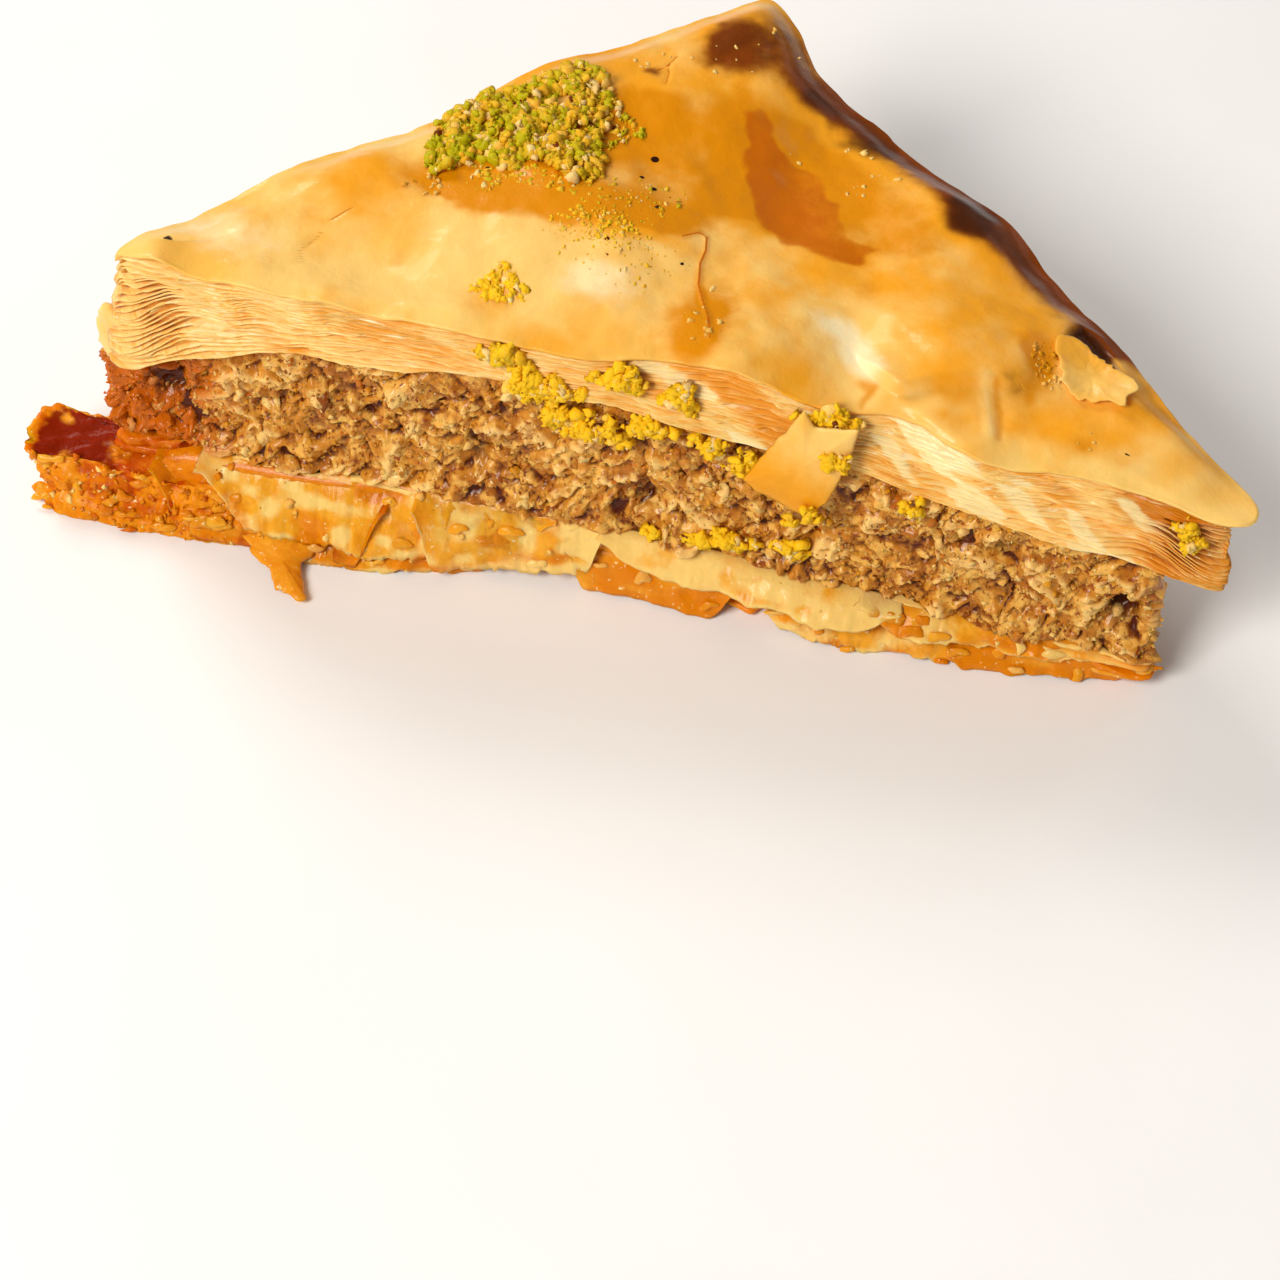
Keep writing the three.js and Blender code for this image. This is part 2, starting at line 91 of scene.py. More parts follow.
class Noise:
    """Seeded value noise from -1 to 1 in one to three dimensions."""

    def __init__(self, seed: int) -> None:
        """Keeps the seed."""
        self.seed = seed

    def _cell(self, cells: Sequence[Array]) -> Array:
        """Random value of each whole-numbered cell: its numbers are hashed together with the seed.

        Args:
            cells: whole numbers of the cells, one array for each dimension.

        Returns:
            Their values, from -1 to 1.
        """
        mixed = np.full(cells[0].shape, self.seed * SCATTER[0] % 2**32, dtype=np.uint64)
        for cell in cells:
            mixed = (mixed ^ (cell.astype(np.int64).astype(np.uint64) & 0xFFFFFFFF)) * SCATTER[1] % 2**32
            mixed = (mixed ^ (mixed >> 15)) * SCATTER[2] % 2**32
            mixed = mixed ^ (mixed >> 13)
        return mixed / 2.0**31 - 1.0

    def __call__(self, *coordinates: Array) -> Array:
        """Noise at some places: the values of the surrounding cells, blended with a smooth step.

        Args:
            coordinates: one array or number for each dimension, in cells.

        Returns:
            The noise, from -1 to 1.
        """
        grids = np.broadcast_arrays(*[np.asarray(c, dtype=float) for c in coordinates])
        floors = [np.floor(g) for g in grids]
        shares = [ease(g - f, 0.0, 1.0) for g, f in zip(grids, floors)]
        total = np.zeros(grids[0].shape)
        for corner in range(2 ** len(grids)):
            bits = [(corner >> d) & 1 for d in range(len(grids))]
            weight = np.ones(grids[0].shape)
            for share, bit in zip(shares, bits):
                weight = weight * (share if bit else 1.0 - share)
            total += weight * self._cell([f + bit for f, bit in zip(floors, bits)])
        return total

    def fractal(self, *coordinates: Array, octaves: int = 3) -> Array:
        """Sum of octaves of noise, each half as strong and about twice as fine as the last.

        Args:
            coordinates: one array or number for each dimension, in cells of the first octave.
            octaves: how many.

        Returns:
            The sum.
        """
        total = np.zeros(np.broadcast(*coordinates).shape)
        for octave in range(octaves):
            scale = 2.03**octave
            total = total + self(*[c * scale + 31.7 * octave for c in coordinates]) * 0.5**octave
        return total


def path_distance(x: Array, y: Array, path: Sequence[Row]) -> tuple[Array, Array]:
    """Distance to a bent line, and the share of the line's length at the nearest place.

    Args:
        x: X of each place.
        y: Y of each place.
        path: corners (x, y) of the line.

    Returns:
        The distances, and the shares from 0 at the line's start to 1 at its end.
    """
    best = np.full(np.shape(x), np.inf)
    share = np.zeros(np.shape(x))
    steps = len(path) - 1
    for k in range(steps):
        (ax, ay), (bx, by) = path[k][:2], path[k + 1][:2]
        t = ((x - ax) * (bx - ax) + (y - ay) * (by - ay)) / ((bx - ax) ** 2 + (by - ay) ** 2)
        t = np.clip(t, 0.0, 1.0)
        away = np.hypot(x - ax - t * (bx - ax), y - ay - t * (by - ay))
        share = np.where(away < best, (k + t) / steps, share)
        best = np.minimum(best, away)
    return best, share


def region(x: Array, y: Array, corners: Sequence[Row], soft: float) -> Array:
    """Share inside a closed outline: 1 inside and 0 outside, blended at the line.

    A place is inside where a ray from it along X crosses the outline an odd number of times.

    Args:
        x: X of each place.
        y: Y of each place.
        corners: corners (x, y) of the outline.
        soft: width of the blend, in millimetres.

    Returns:
        The shares.
    """
    closed = (*corners, corners[0])
    inside = np.zeros(np.shape(x), dtype=bool)
    for (ax, ay), (bx, by) in zip(closed, closed[1:]):
        slope = (bx - ax) / (by - ay if by != ay else 1.0)
        inside ^= ((ay > y) != (by > y)) & (x < slope * (y - ay) + ax)
    away = path_distance(x, y, closed)[0]
    return ease(np.where(inside, away, -away), -soft / 2, soft / 2)


# ---- The piece's outline and heights -------------------------------------------------------------


@dataclass(frozen=True)
class Swell:
    """A soft rise, dip or spot: centre, reach along X and Y, and rise in millimetres or strength."""

    x: float
    y: float
    rx: float
    ry: float
    rise: float

    def at(self, x: Array, y: Array) -> Array:
        """Rise at some places: a bell round the centre."""
        return self.rise * bell(np.hypot((x - self.x) / self.rx, (y - self.y) / self.ry))


@dataclass(frozen=True)
class Corner:
    """A corner of an outline, rounded by a curve of reach r."""

    x: float
    y: float
    r: float


@dataclass(frozen=True)
class Outline:
    """Points round an outline, anticlockwise, with their outward normals and distance along it."""

    x: Array
    y: Array
    nx: Array
    ny: Array
    s: Array

    @classmethod
    def straight(cls, x: Array) -> Outline:
        """Places along the long cut face, as if it had no ends."""
        return cls(x, 0 * x, 0 * x, 0 * x - 1, 0 * x)

    @property
    def front(self) -> Array:
        """1 on the long cut face, falling to 0 round the corners."""
        return ease(-self.ny, 0.6, 0.95)


@dataclass(frozen=True)
class PieceForm:
    """Outlines and heights of the whole piece, in millimetres."""

    incentre: Row = (-1.6, 20.0)
    inradius: float = 20.0
    apex_x: float = -2.3
    corner_radius: float = 1.6
    layer_gap: float = 0.3
    # The top leaf's left end, right end, front and apex before its corners are rounded.
    leaf_ends: Row = (-49.8, 49.6, 0.0, 47.6)
    # Heights at the left and the right end.
    top_heights: Row = (30.4, 25.0)
    base_heights: Row = (7.7, 3.9)
    # The stack: its least thickness, how much it gains towards the ends, and its sag at the left and right end.
    thinnest: float = 6.6
    gain: float = 2.7
    sags: Row = (1.8, 1.5)
    swells: tuple[Swell, ...] = (
        Swell(4, 0, 5, 7, 0.9), Swell(-9, 1, 5, 6, -0.8), Swell(-34, 15, 9, 7, 1.3),
        Swell(-27, 6, 6, 6, -0.9), Swell(-14, 13, 10, 7, 0.8), Swell(-18, 30, 8, 8, 1.1),
        Swell(22, 12, 8, 6, 1.5), Swell(14, 8, 3.5, 7, -1.1), Swell(8, 32, 6, 6, -1.6),
        Swell(21, 25, 7, 6, 1.6), Swell(36, 12, 7, 5, 1.2), Swell(3, 24, 6, 7, -1.0),
        Swell(-3, 42, 6, 6, 0.8), Swell(-46, 3, 4, 4.5, 1.5),
    )
    edge_swells: tuple[Swell, ...] = (
        Swell(-36, 15, 12, 12, 1.2), Swell(-20, 32, 9, 9, 1.2), Swell(4.4, 39.4, 4.6, 4.6, -1.9),
        Swell(23, 26, 5, 5, 1.2), Swell(46, 4, 5, 5, 1.0), Swell(32, 17, 12, 12, 1.8),
    )

    def top_line(self, x: Array) -> Array:
        """Height of the top leaf along the long side: it falls from left to right by a smooth step."""
        return mix(*self.top_heights, ease(x, -20.0, 50.0))

    def base_top(self, x: Array) -> Array:
        """Height of the seam between base and nuts, falling from left to right."""
        return mix(*self.base_heights, ease(x, -15.0, 45.0))

    def stack_bottom(self, x: Array) -> Array:
        """Height of the seam between nuts and stack: a parabola below the top line, with a sag at each end.

        Args:
            x: places along the long side.

        Returns:
            The heights.
        """
        spread = self.gain * ((x + 2.0) / 42.0) ** 2
        sag = self.sags[0] * ease(-x, 34.0, 47.0) + self.sags[1] * ease(x, 40.0, 49.0)
        return self.top_line(x) - self.thinnest - spread - sag

    def top_height(self, x: Array, y: Array) -> Array:
        """Height of the top leaf: the top line with every puff and dip added."""
        return self.top_line(x) + sum(swell.at(x, y) for swell in self.swells)

    def edge_swell(self, o: Outline) -> Array:
        """How far each point of an outline bulges out."""
        return sum(swell.at(o.x, o.y) for swell in self.edge_swells)

    def triangle(self, left: float, right: float, front: float, apex_y: float) -> list[Corner]:
        """Corners of a layer's triangular outline, the two sharp ones rounded further back.

        Args:
            left: X of the left end.
            right: X of the right end.
            front: Y of the long side.
            apex_y: Y of the square corner.

        Returns:
            The corners, anticlockwise.
        """
        reach = 2.4 * self.corner_radius
        return [
            Corner(left, front, reach),
            Corner(right, front, reach),
            Corner(self.apex_x, apex_y, self.corner_radius),
        ]

    def leaf(self, front_step: float, back_step: float) -> Outline:
        """Outline of a whole filo leaf, with its spacing on the long cut face and elsewhere."""
        return outline(self.triangle(*self.leaf_ends), front_step, back_step)

    def placed(self, o: Outline, inset: Array, out: Array = 0.0) -> tuple[Array, Array]:
        """Places in from an outline: scaled towards the middle, then moved out along the normal.

        Args:
            o: the outline.
            inset: how far in, as an array that broadcasts against the outline.
            out: how far out along the normal.

        Returns:
            X and Y of the places.
        """
        share = 1.0 - np.asarray(inset) / self.inradius
        x = self.incentre[0] + (o.x - self.incentre[0]) * share + o.nx * out
        y = self.incentre[1] + (o.y - self.incentre[1]) * share + o.ny * out
        return x, y

    def setback(self, o: Outline) -> Array:
        """How far the top leaf's edge and the leaves just below it lie back behind the long cut face.

        Args:
            o: the outline.

        Returns:
            The set-back of each of its points.
        """
        broad = 1.3 * ease(o.x, -8.0, 0.0) * ease(-o.x, -27.0, -20.0)
        far = 0.9 * ease(o.x, 25.0, 34.0) * ease(-o.x, -47.0, -38.0)
        return (broad + 1.2 * bell((o.x - 18.0) / 3.5) + far) * o.front

    def notch(self, o: Outline, level: Array) -> Array:
        """How far the leaves stop short of the right tip, the upper ones most: the top leaf overhangs them."""
        return (1.7 + 0.8 * ease(level, 0.3, 0.8)) * bell((o.x - 49.6) / 5.0)

    def droop(self, o: Outline, inset: Array) -> Array:
        """How far the top leaf has come down near its edge: a bell, low over the cut face and higher elsewhere.

        Args:
            o: the outline.
            inset: how far in, as an array that broadcasts against the outline.

        Returns:
            The fall.
        """
        tip = bell((o.x - 50.0) / 9.0)
        fall = mix(mix(1.7, 0.5, o.front), 0.6, tip)
        reach = mix(mix(2.2, 1.0, o.front), 1.3, tip)
        return fall * bell(np.asarray(inset) / reach)


def outline(corners: Sequence[Corner], front_step: float, back_step: float) -> Outline:
    """Outline through rounded corners, with finer spacing on the long cut face.

    Straight runs join quadratic curves that start and end r from each corner. The path is cut into fine steps,
    and points are then taken at even steps of the length divided by the wanted spacing.

    Args:
        corners: the corners, anticlockwise.
        front_step: spacing on the long cut face, in millimetres.
        back_step: spacing elsewhere.

    Returns:
        The outline.
    """
    parts = []
    t = np.linspace(0.0, 1.0, 24)[:, None]
    for i, corner in enumerate(corners):
        here = np.array([corner.x, corner.y])
        ends = []
        for other in (corners[i - 1], corners[(i + 1) % len(corners)]):
            way = np.array([other.x, other.y]) - here
            ends.append(here + way / np.linalg.norm(way) * corner.r)
        parts.append((1 - t) ** 2 * ends[0] + 2 * t * (1 - t) * here + t**2 * ends[1])
    path = np.concatenate(parts)
    path = np.concatenate([path, path[:1]])
    s = np.concatenate([[0.0], np.cumsum(np.linalg.norm(np.diff(path, axis=0), axis=1))])
    fine = np.linspace(0.0, s[-1], 6001)
    points = np.stack([np.interp(fine, s, path[:, k]) for k in (0, 1)], axis=1)[:-1]
    along = np.roll(points, -12, axis=0) - np.roll(points, 12, axis=0)
    along /= np.linalg.norm(along, axis=1)[:, None]
    weight = np.cumsum(np.where(along[:, 0] > 0.9, 1 / front_step, 1 / back_step)) * (s[-1] / 6000)
    count = int(weight[-1])
    pick = np.interp(np.arange(count) + 0.5, weight, np.arange(6000))
    columns = [points[:, 0], points[:, 1], along[:, 1], -along[:, 0], fine[:-1]]
    picked = [np.interp(pick, np.arange(6000), column) for column in columns]
    return Outline(*picked)


# ---- Meshes --------------------------------------------------------------------------------------


def ring_quads(rings: int, count: int, closed: bool = False) -> Array:
    """Quads between rings of points, each ring closed on itself.

    Args:
        rings: how many rings.
        count: points in a ring.
        closed: whether the last ring is joined to the first too.

    Returns:
        Four point numbers for each quad.
    """
    k = np.arange(rings if closed else rings - 1)[:, None]
    i = np.arange(count)[None, :]
    a, b = k * count + i, k * count + (i + 1) % count
    up = (k + 1) % rings * count
    faces = np.stack([a, b, up + (i + 1) % count, up + i], axis=-1)
    return faces.reshape(-1, 4)


def rings_volume(rings: Array) -> float:
    """Volume inside capped rings: a sum of corner tetrahedra.

    Args:
        rings: points, as rings by places by 3.

    Returns:
        The volume, negative if their faces would point inwards.
    """
    corner = rings - rings.mean(axis=(0, 1))
    low, high = corner[:-1], corner[1:]
    low_next, high_next = np.roll(low, -1, axis=1), np.roll(high, -1, axis=1)
    return float((np.cross(low, low_next) * high_next).sum() + (np.cross(low, high_next) * high).sum())


@dataclass
class Surface:
    """Vertices, faces and vertex attributes of one piece, gathered before its mesh is made."""

    vertices: list[Array] = field(default_factory=list)
    quads: list[Array] = field(default_factory=list)
    triangles: list[Array] = field(default_factory=list)
    attributes: dict[str, list[Array]] = field(default_factory=dict)
    count: int = 0

    def add(
        self, vertices: Array, quads: Array | None = None, triangles: Array | None = None, **fields: Array
    ) -> None:
        """Adds a body.

        Args:
            vertices: its vertices, with 3 as the last size.
            quads: its four-sided faces, their vertices numbered from 0.
            triangles: its three-sided faces.
            fields: attributes, one value for each vertex.
        """
        flat = vertices.reshape(-1, 3)
        self.vertices.append(flat)
        if quads is not None:
            self.quads.append(quads + self.count)
        if triangles is not None:
            self.triangles.append(triangles + self.count)
        for name, values in fields.items():
            spread = np.broadcast_to(np.asarray(values, dtype=float), vertices.shape[:-1])
            self.attributes.setdefault(name, []).append(spread.reshape(-1))
        self.count += len(flat)

    def add_rings(self, rings: Array, closed: bool = False, **fields: Array) -> None:
        """Adds a body made of rings, bottom first, shut by a fan at each end unless the rings are closed.

        Args:
            rings: points, as rings by places by 3.
            closed: whether the last ring joins the first.
            fields: attributes, one value for each point.
        """
        count, places = rings.shape[:2]
        if not closed and rings_volume(rings) < 0:
            rings = rings[:, ::-1]
            spread = {name: np.broadcast_to(values, rings.shape[:-1]) for name, values in fields.items()}
            fields = {name: values[:, ::-1] for name, values in spread.items()}
        quads = ring_quads(count, places, closed)
        if closed:
            self.add(rings, quads, **fields)
            return
        middles = np.stack([rings[0].mean(axis=0), rings[-1].mean(axis=0)])
        i = np.arange(places)
        after = (i + 1) % places
        low, high = count * places, count * places + 1
        last = (count - 1) * places
        bottom = np.stack([np.full(places, low), after, i], axis=1)
        top = np.stack([np.full(places, high), last + i, last + after], axis=1)
        flat = np.concatenate([rings.reshape(-1, 3), middles])
        spread = {}
        for name, values in fields.items():
            whole = np.broadcast_to(np.asarray(values, dtype=float), rings.shape[:-1])
            ends = [whole[0].mean(), whole[-1].mean()]
            spread[name] = np.concatenate([whole.reshape(-1), ends])
        self.add(flat, quads, np.concatenate([bottom, top]), **spread)

    def build(self, name: str, material: Material, to_frame: Callable[[Array], Array]) -> Thing:
        """Makes the smooth-shaded mesh object with its attributes and material.

        Args:
            name: the piece's name.
            material: its finish.
            to_frame: turns the piece's millimetres into the frame's metres.

        Returns:
            The object.
        """
        points = to_frame(np.concatenate(self.vertices))
        quads = np.concatenate(self.quads) if self.quads else np.zeros((0, 4), dtype=int)
        triangles = np.concatenate(self.triangles) if self.triangles else np.zeros((0, 3), dtype=int)
        corners = np.concatenate([quads.reshape(-1), triangles.reshape(-1)]).astype(np.int32)
        sizes = np.concatenate([np.full(len(quads), 4), np.full(len(triangles), 3)]).astype(np.int32)
        mesh = bpy.data.meshes.new(name)
        mesh.vertices.add(len(points))
        mesh.vertices.foreach_set("co", points.astype(np.float32).reshape(-1))
        mesh.loops.add(len(corners))
        mesh.loops.foreach_set("vertex_index", corners)
        mesh.polygons.add(len(sizes))
        mesh.polygons.foreach_set("loop_start", (np.cumsum(sizes) - sizes).astype(np.int32))
        mesh.polygons.foreach_set("use_smooth", np.ones(len(sizes), dtype=bool))
        for label, values in self.attributes.items():
            if sum(len(part) for part in values) != len(points):
                raise ValueError(f"{name}: {label} is not given for every body")
            layer = mesh.attributes.new(label, "FLOAT", "POINT")
            layer.data.foreach_set("value", np.concatenate(values).astype(np.float32))
        mesh.update(calc_edges=True)
        mesh.validate()
        mesh.materials.append(material)
        thing = bpy.data.objects.new(name, mesh)
        bpy.context.scene.collection.objects.link(thing)
        LOG.info("%s: %d triangles", name, 2 * len(quads) + len(triangles))
        return thing


def lump_template() -> tuple[Array, Array]:
    """A round lump of 42 triangles: three rings of seven points between two poles.

    Returns:
        Its vertices, on a sphere of radius 1, and its triangles.
    """
    sides = 7
    levels = np.radians([-42.0, 0.0, 42.0])[:, None]
    turns = (np.arange(sides)[None, :] + np.array([[0.0], [0.5], [0.0]])) * 2 * np.pi / sides
    wide, tall = np.cos(levels), np.sin(levels) + 0 * turns
    rings = np.stack([wide * np.cos(turns), wide * np.sin(turns), tall], axis=-1)
    poles = np.array([[0.0, 0.0, -1.0], [0.0, 0.0, 1.0]])
    vertices = np.concatenate([rings.reshape(-1, 3), poles])
    quads = ring_quads(3, sides)
    i = np.arange(sides)
    after = (i + 1) % sides
    bottom = np.stack([np.full(sides, 3 * sides), after, i], axis=1)
    top = np.stack([np.full(sides, 3 * sides + 1), 2 * sides + i, 2 * sides + after], axis=1)
    return vertices, np.concatenate([quads[:, [0, 1, 2]], quads[:, [0, 2, 3]], bottom, top])


def add_lumps(
    surface: Surface, centres: Array, radii: Array, rng: np.random.Generator, rough: float, **fields: Array
) -> None:
    """Adds uneven lumps, each stretched, dented and turned at random.

    Args:
        surface: what they are added to.
        centres: their centres, in millimetres.
        radii: their mean radii.
        rng: the seeded generator.
        rough: how uneven they are, as a share of the radius.
        fields: attributes, one value for each lump.
    """
    vertices, faces = lump_template()
    count = len(centres)
    dents = 1.0 + rough * rng.standard_normal((count, len(vertices), 1)).clip(-1.6, 1.6)
    stretch = rng.uniform(0.65, 1.3, (count, 1, 3))
    turn = rng.standard_normal((count, 4))
    w, x, y, z = (turn / np.linalg.norm(turn, axis=1)[:, None]).T
    rows = [
        [1 - 2 * (y * y + z * z), 2 * (x * y - w * z), 2 * (x * z + w * y)],
        [2 * (x * y + w * z), 1 - 2 * (x * x + z * z), 2 * (y * z - w * x)],
        [2 * (x * z - w * y), 2 * (y * z + w * x), 1 - 2 * (x * x + y * y)],
    ]
    matrix = np.array(rows).transpose(2, 0, 1)
    shaped = vertices[None] * dents * stretch * radii[:, None, None]
    placed = np.einsum("kij,knj->kni", matrix, shaped) + centres[:, None, :]
    offsets = (np.arange(count) * len(vertices))[:, None, None]
    spread = {name: np.repeat(values[:, None], len(vertices), axis=1) for name, values in fields.items()}
    surface.add(placed, triangles=(faces[None] + offsets).reshape(-1, 3), **spread)


# ---- Finishes ------------------------------------------------------------------------------------


def linear(colour: str) -> Row:
    """Linear colour of an sRGB hex value such as 'E9BE72'."""
    channels = [int(colour[i : i + 2], 16) / 255 for i in (0, 2, 4)]
    return (*[c / 12.92 if c <= 0.04045 else ((c + 0.055) / 1.055) ** 2.4 for c in channels], 1.0)


def add_node(
    tree: Tree,
    kind: str,
    values: dict[str | int, Any] | None = None,
    links: dict[str | int, Socket] | None = None,
    **settings: Any,
) -> bpy.types.Node:
    """Adds a node with its settings, socket values and incoming links.

    Args:
        tree: the material's tree.
        kind: the node's type without its ShaderNode prefix.
        values: values of input sockets, by name or number.
        links: sockets to link into input sockets, by name or number.
        settings: properties of the node.

    Returns:
        The node.
    """
    node = tree.nodes.new("ShaderNode" + kind)
    for name, value in settings.items():
        setattr(node, name, value)
    for name, value in (values or {}).items():
        node.inputs[name].default_value = value
    for name, socket in (links or {}).items():
        tree.links.new(socket, node.inputs[name])
    return node


class Pattern(Enum):
    """Which noise a colour layer follows."""

    LUMPS = "as long as they are wide"
    STREAKS = "drawn out along the leaves"


@dataclass(frozen=True)
class Layer:
    """A colour that takes over where its source rises from low to high.

    The source is an attribute's name or a pattern: lumps size_mm across, or streaks that are long_mm along the
    leaves and size_mm across them.
    """

    source: str | Pattern
    low: float
    high: float
    colour: str
    size_mm: float = 1.0
    long_mm: float = 4.0


@dataclass(frozen=True)
class Finish:
    """A finish: colour layers over a ground, fine bumps, a coat of syrup and scattering below the surface."""

    name: str
    ground: str
    layers: tuple[Layer, ...]
    roughness: float
    bumps: Rows
    coat: float = 0.0
    coat_roughness: float = 0.1
    subsurface: float = 0.0
    subsurface_mm: float = 1.0
    ragged: float = 0.0
    ragged_mm: float = 1.0
    ior: float = 1.45
    specular: float = 0.25

    def _noise(self, tree: Tree, place: Socket, size_mm: float, long_mm: float = 0.0) -> Socket:
        """Noise in the material.

        Args:
            tree: the material's tree.
            place: the socket that gives the place.
            size_mm: how wide its lumps are.
            long_mm: how long they are along X and Y, if that differs.

        Returns:
            The socket that gives the noise.
        """
        values = {"Scale": 1.0 / (size_mm * MM), "Detail": 3.0, "Roughness": 0.55}
        if long_mm:
            stretch = size_mm / long_mm
            place = add_node(tree, "Mapping", {"Scale": (stretch, stretch, 1.0)}, {"Vector": place}).outputs[0]
        return add_node(tree, "TexNoise", values, {"Vector": place}).outputs["Fac"]

    def _mask(self, tree: Tree, place: Socket, layer: Layer) -> Socket:
        """Share of one layer's colour; an attribute's edge is made ragged by noise.

        Args:
            tree: the material's tree.
            place: the socket that gives the place.
            layer: the layer.

        Returns:
            The socket that gives the share, from 0 to 1.
        """
        if isinstance(layer.source, Pattern):
            long_mm = layer.long_mm if layer.source is Pattern.STREAKS else 0.0
            value = self._noise(tree, place, layer.size_mm, long_mm)
        else:
            value = add_node(tree, "Attribute", attribute_name=layer.source).outputs["Fac"]
            if self.ragged:
                edge = self._noise(tree, place, self.ragged_mm)
                links = {0: edge, 2: value}
                values = {1: self.ragged}
                value = add_node(tree, "Math", values, links, operation="MULTIPLY_ADD").outputs[0]
                half = {1: self.ragged / 2}
                value = add_node(tree, "Math", half, {0: value}, operation="SUBTRACT").outputs[0]
        limits = {"From Min": layer.low, "From Max": layer.high}
        ramp = add_node(tree, "MapRange", limits, {"Value": value}, interpolation_type="SMOOTHSTEP")
        return ramp.outputs["Result"]

    def material(self) -> Material:
        """Builds the material: layered colour, then bumps, coat and scattering on one shader.

        Returns:
            The material.
        """
        made = bpy.data.materials.new(self.name)
        made.use_nodes = True
        tree = made.node_tree
        tree.nodes.clear()
        place = add_node(tree, "TexCoord").outputs["Object"]
        colour: Socket | None = None
        for layer in self.layers:
            values = {7: linear(layer.colour)}
            links = {0: self._mask(tree, place, layer)}
            if colour is None:
                values[6] = linear(self.ground)
            else:
                links[6] = colour
            colour = add_node(tree, "Mix", values, links, data_type="RGBA").outputs[2]
        normal: Socket | None = None
        for size_mm, height_mm in self.bumps:
            height = self._noise(tree, place, size_mm)
            links = {"Height": height} if normal is None else {"Height": height, "Normal": normal}
            values = {"Strength": 1.0, "Distance": height_mm * MM}
            normal = add_node(tree, "Bump", values, links).outputs["Normal"]
        shader_values = {
            "Roughness": self.roughness,
            "IOR": self.ior,
            "Specular IOR Level": self.specular,
            "Coat Weight": self.coat,
            "Coat Roughness": self.coat_roughness,
            "Subsurface Weight": self.subsurface,
            "Subsurface Radius": (1.0, 0.45, 0.18),
            "Subsurface Scale": self.subsurface_mm * MM,
        }
        shader_links = {"Base Color": colour}
        if normal is not None:
            shader_links["Normal"] = normal
        shader = add_node(tree, "BsdfPrincipled", shader_values, shader_links)
        add_node(tree, "OutputMaterial", None, {"Surface": shader.outputs[0]})
        return made


# Baked filo under a clear set syrup: creamy where it is dry, honey and amber where syrup soaked in, brown
# where it caught the heat. Painted light is in it too: pale paints highlights on slopes that face the light,
# and toast, char, deep and amber paint shade on the slope that faces away, in cracks, the pane's groove and
# the flap's gap. The coat gives the wet highlights, and the scattering its buttery glow.
GLAZED_FILO = Finish(
    name="syrup_glazed_filo",
    ground="FACC76",
    layers=(
        Layer(Pattern.LUMPS, 0.4, 0.7, "F6BA54", size_mm=7.0),
        Layer("honey", 0.1, 0.9, "F2A420"),
        Layer("amber", 0.15, 0.85, "DE8C00"),
        Layer("deep", 0.25, 0.8, "C66800"),
        Layer("toast", 0.1, 0.9, "803A00"),
        Layer("char", 0.15, 1.1, "4A1E00"),
        Layer("speck", 0.4, 0.6, "2A0C02"),
        # Pale: painted highlights on the top leaf, and the pale of its crumbs, flap and chunk.
        Layer("pale", 0.2, 0.9, "FFE8B8"),
    ),
    roughness=0.36,
    bumps=((2.6, 0.15), (0.45, 0.035)),
    coat=0.2,
    coat_roughness=0.12,
    subsurface=0.25,
    subsurface_mm=1.2,
    ragged=0.3,
    ragged_mm=1.1,
    specular=0.12,
)

# Filo leaf edges: paper-thin, straw and cream, orange where butter and syrup stained them. The streaks along
# the leaves give their hair-fine lines. Ivory is cream with painted highlights on the cut face's leaf edges,
# and deep is painted shade between the leaves and on the core behind them.
LEAF_EDGE = Finish(
    name="buttered_filo_leaf",
    ground="FDD083",
    layers=(
        Layer(Pattern.STREAKS, 0.42, 0.72, "F3AE4C", size_mm=0.16, long_mm=5.0),
        Layer("stain", 0.2, 1.0, "EC9E34"),
        Layer("amber", 0.2, 1.0, "D07A0A"),
        Layer("ivory", 0.2, 1.0, "FFE2A8"),
        Layer(Pattern.STREAKS, 0.6, 0.78, "FFE9BE", size_mm=0.2, long_mm=7.0),
        # Painted shade between the leaves and on the core.
        Layer("deep", 0.1, 1.0, "B5701A"),
    ),
    roughness=0.36,
    bumps=((0.6, 0.05), (0.22, 0.02)),
    coat=0.25,
    coat_roughness=0.2,
    subsurface=0.3,
    subsurface_mm=0.9,
    ragged=0.4,
    ragged_mm=0.8,
    specular=0.2,
)

# Coarsely ground walnut held by syrup: golden brown paste with beige meat and brown skins, glistening where
# syrup films it. Deep paints shade in its hollows and crevices, the crags are paler on their crests as painted
# light and browner in their dips as painted shade, and fine cream dots are painted glints.
GROUND_WALNUT = Finish(
    name="syrupy_ground_walnut",
    ground="CE8A2C",
    layers=(
        Layer(Pattern.LUMPS, 0.46, 0.62, "B06A1C", size_mm=3.6),
        Layer(Pattern.LUMPS, 0.47, 0.6, "E8B254", size_mm=1.3),
        Layer(Pattern.LUMPS, 0.57, 0.67, "94480C", size_mm=0.8),
        Layer("pale", 0.15, 0.9, "F4C878"),
        Layer("golden", 0.2, 1.0, "E09A18"),
        Layer("brown", 0.15, 0.9, "8A4608"),
        Layer("syrup", 0.3, 1.0, "C46200"),
        # Painted glints: fine cream dots.
        Layer(Pattern.LUMPS, 0.68, 0.74, "FFE4AC", size_mm=0.3),
        Layer(Pattern.LUMPS, 0.63, 0.71, "7A3004", size_mm=0.5),
        # Painted shade in hollows and crevices.
        Layer("deep", 0.1, 0.8, "521A00"),
    ),
    roughness=0.3,
    bumps=((0.5, 0.08), (0.2, 0.05)),
    coat=0.3,
    coat_roughness=0.08,
    subsurface=0.3,
    subsurface_mm=0.5,
    ragged=0.5,
    ragged_mm=0.6,
    specular=0.12,
)
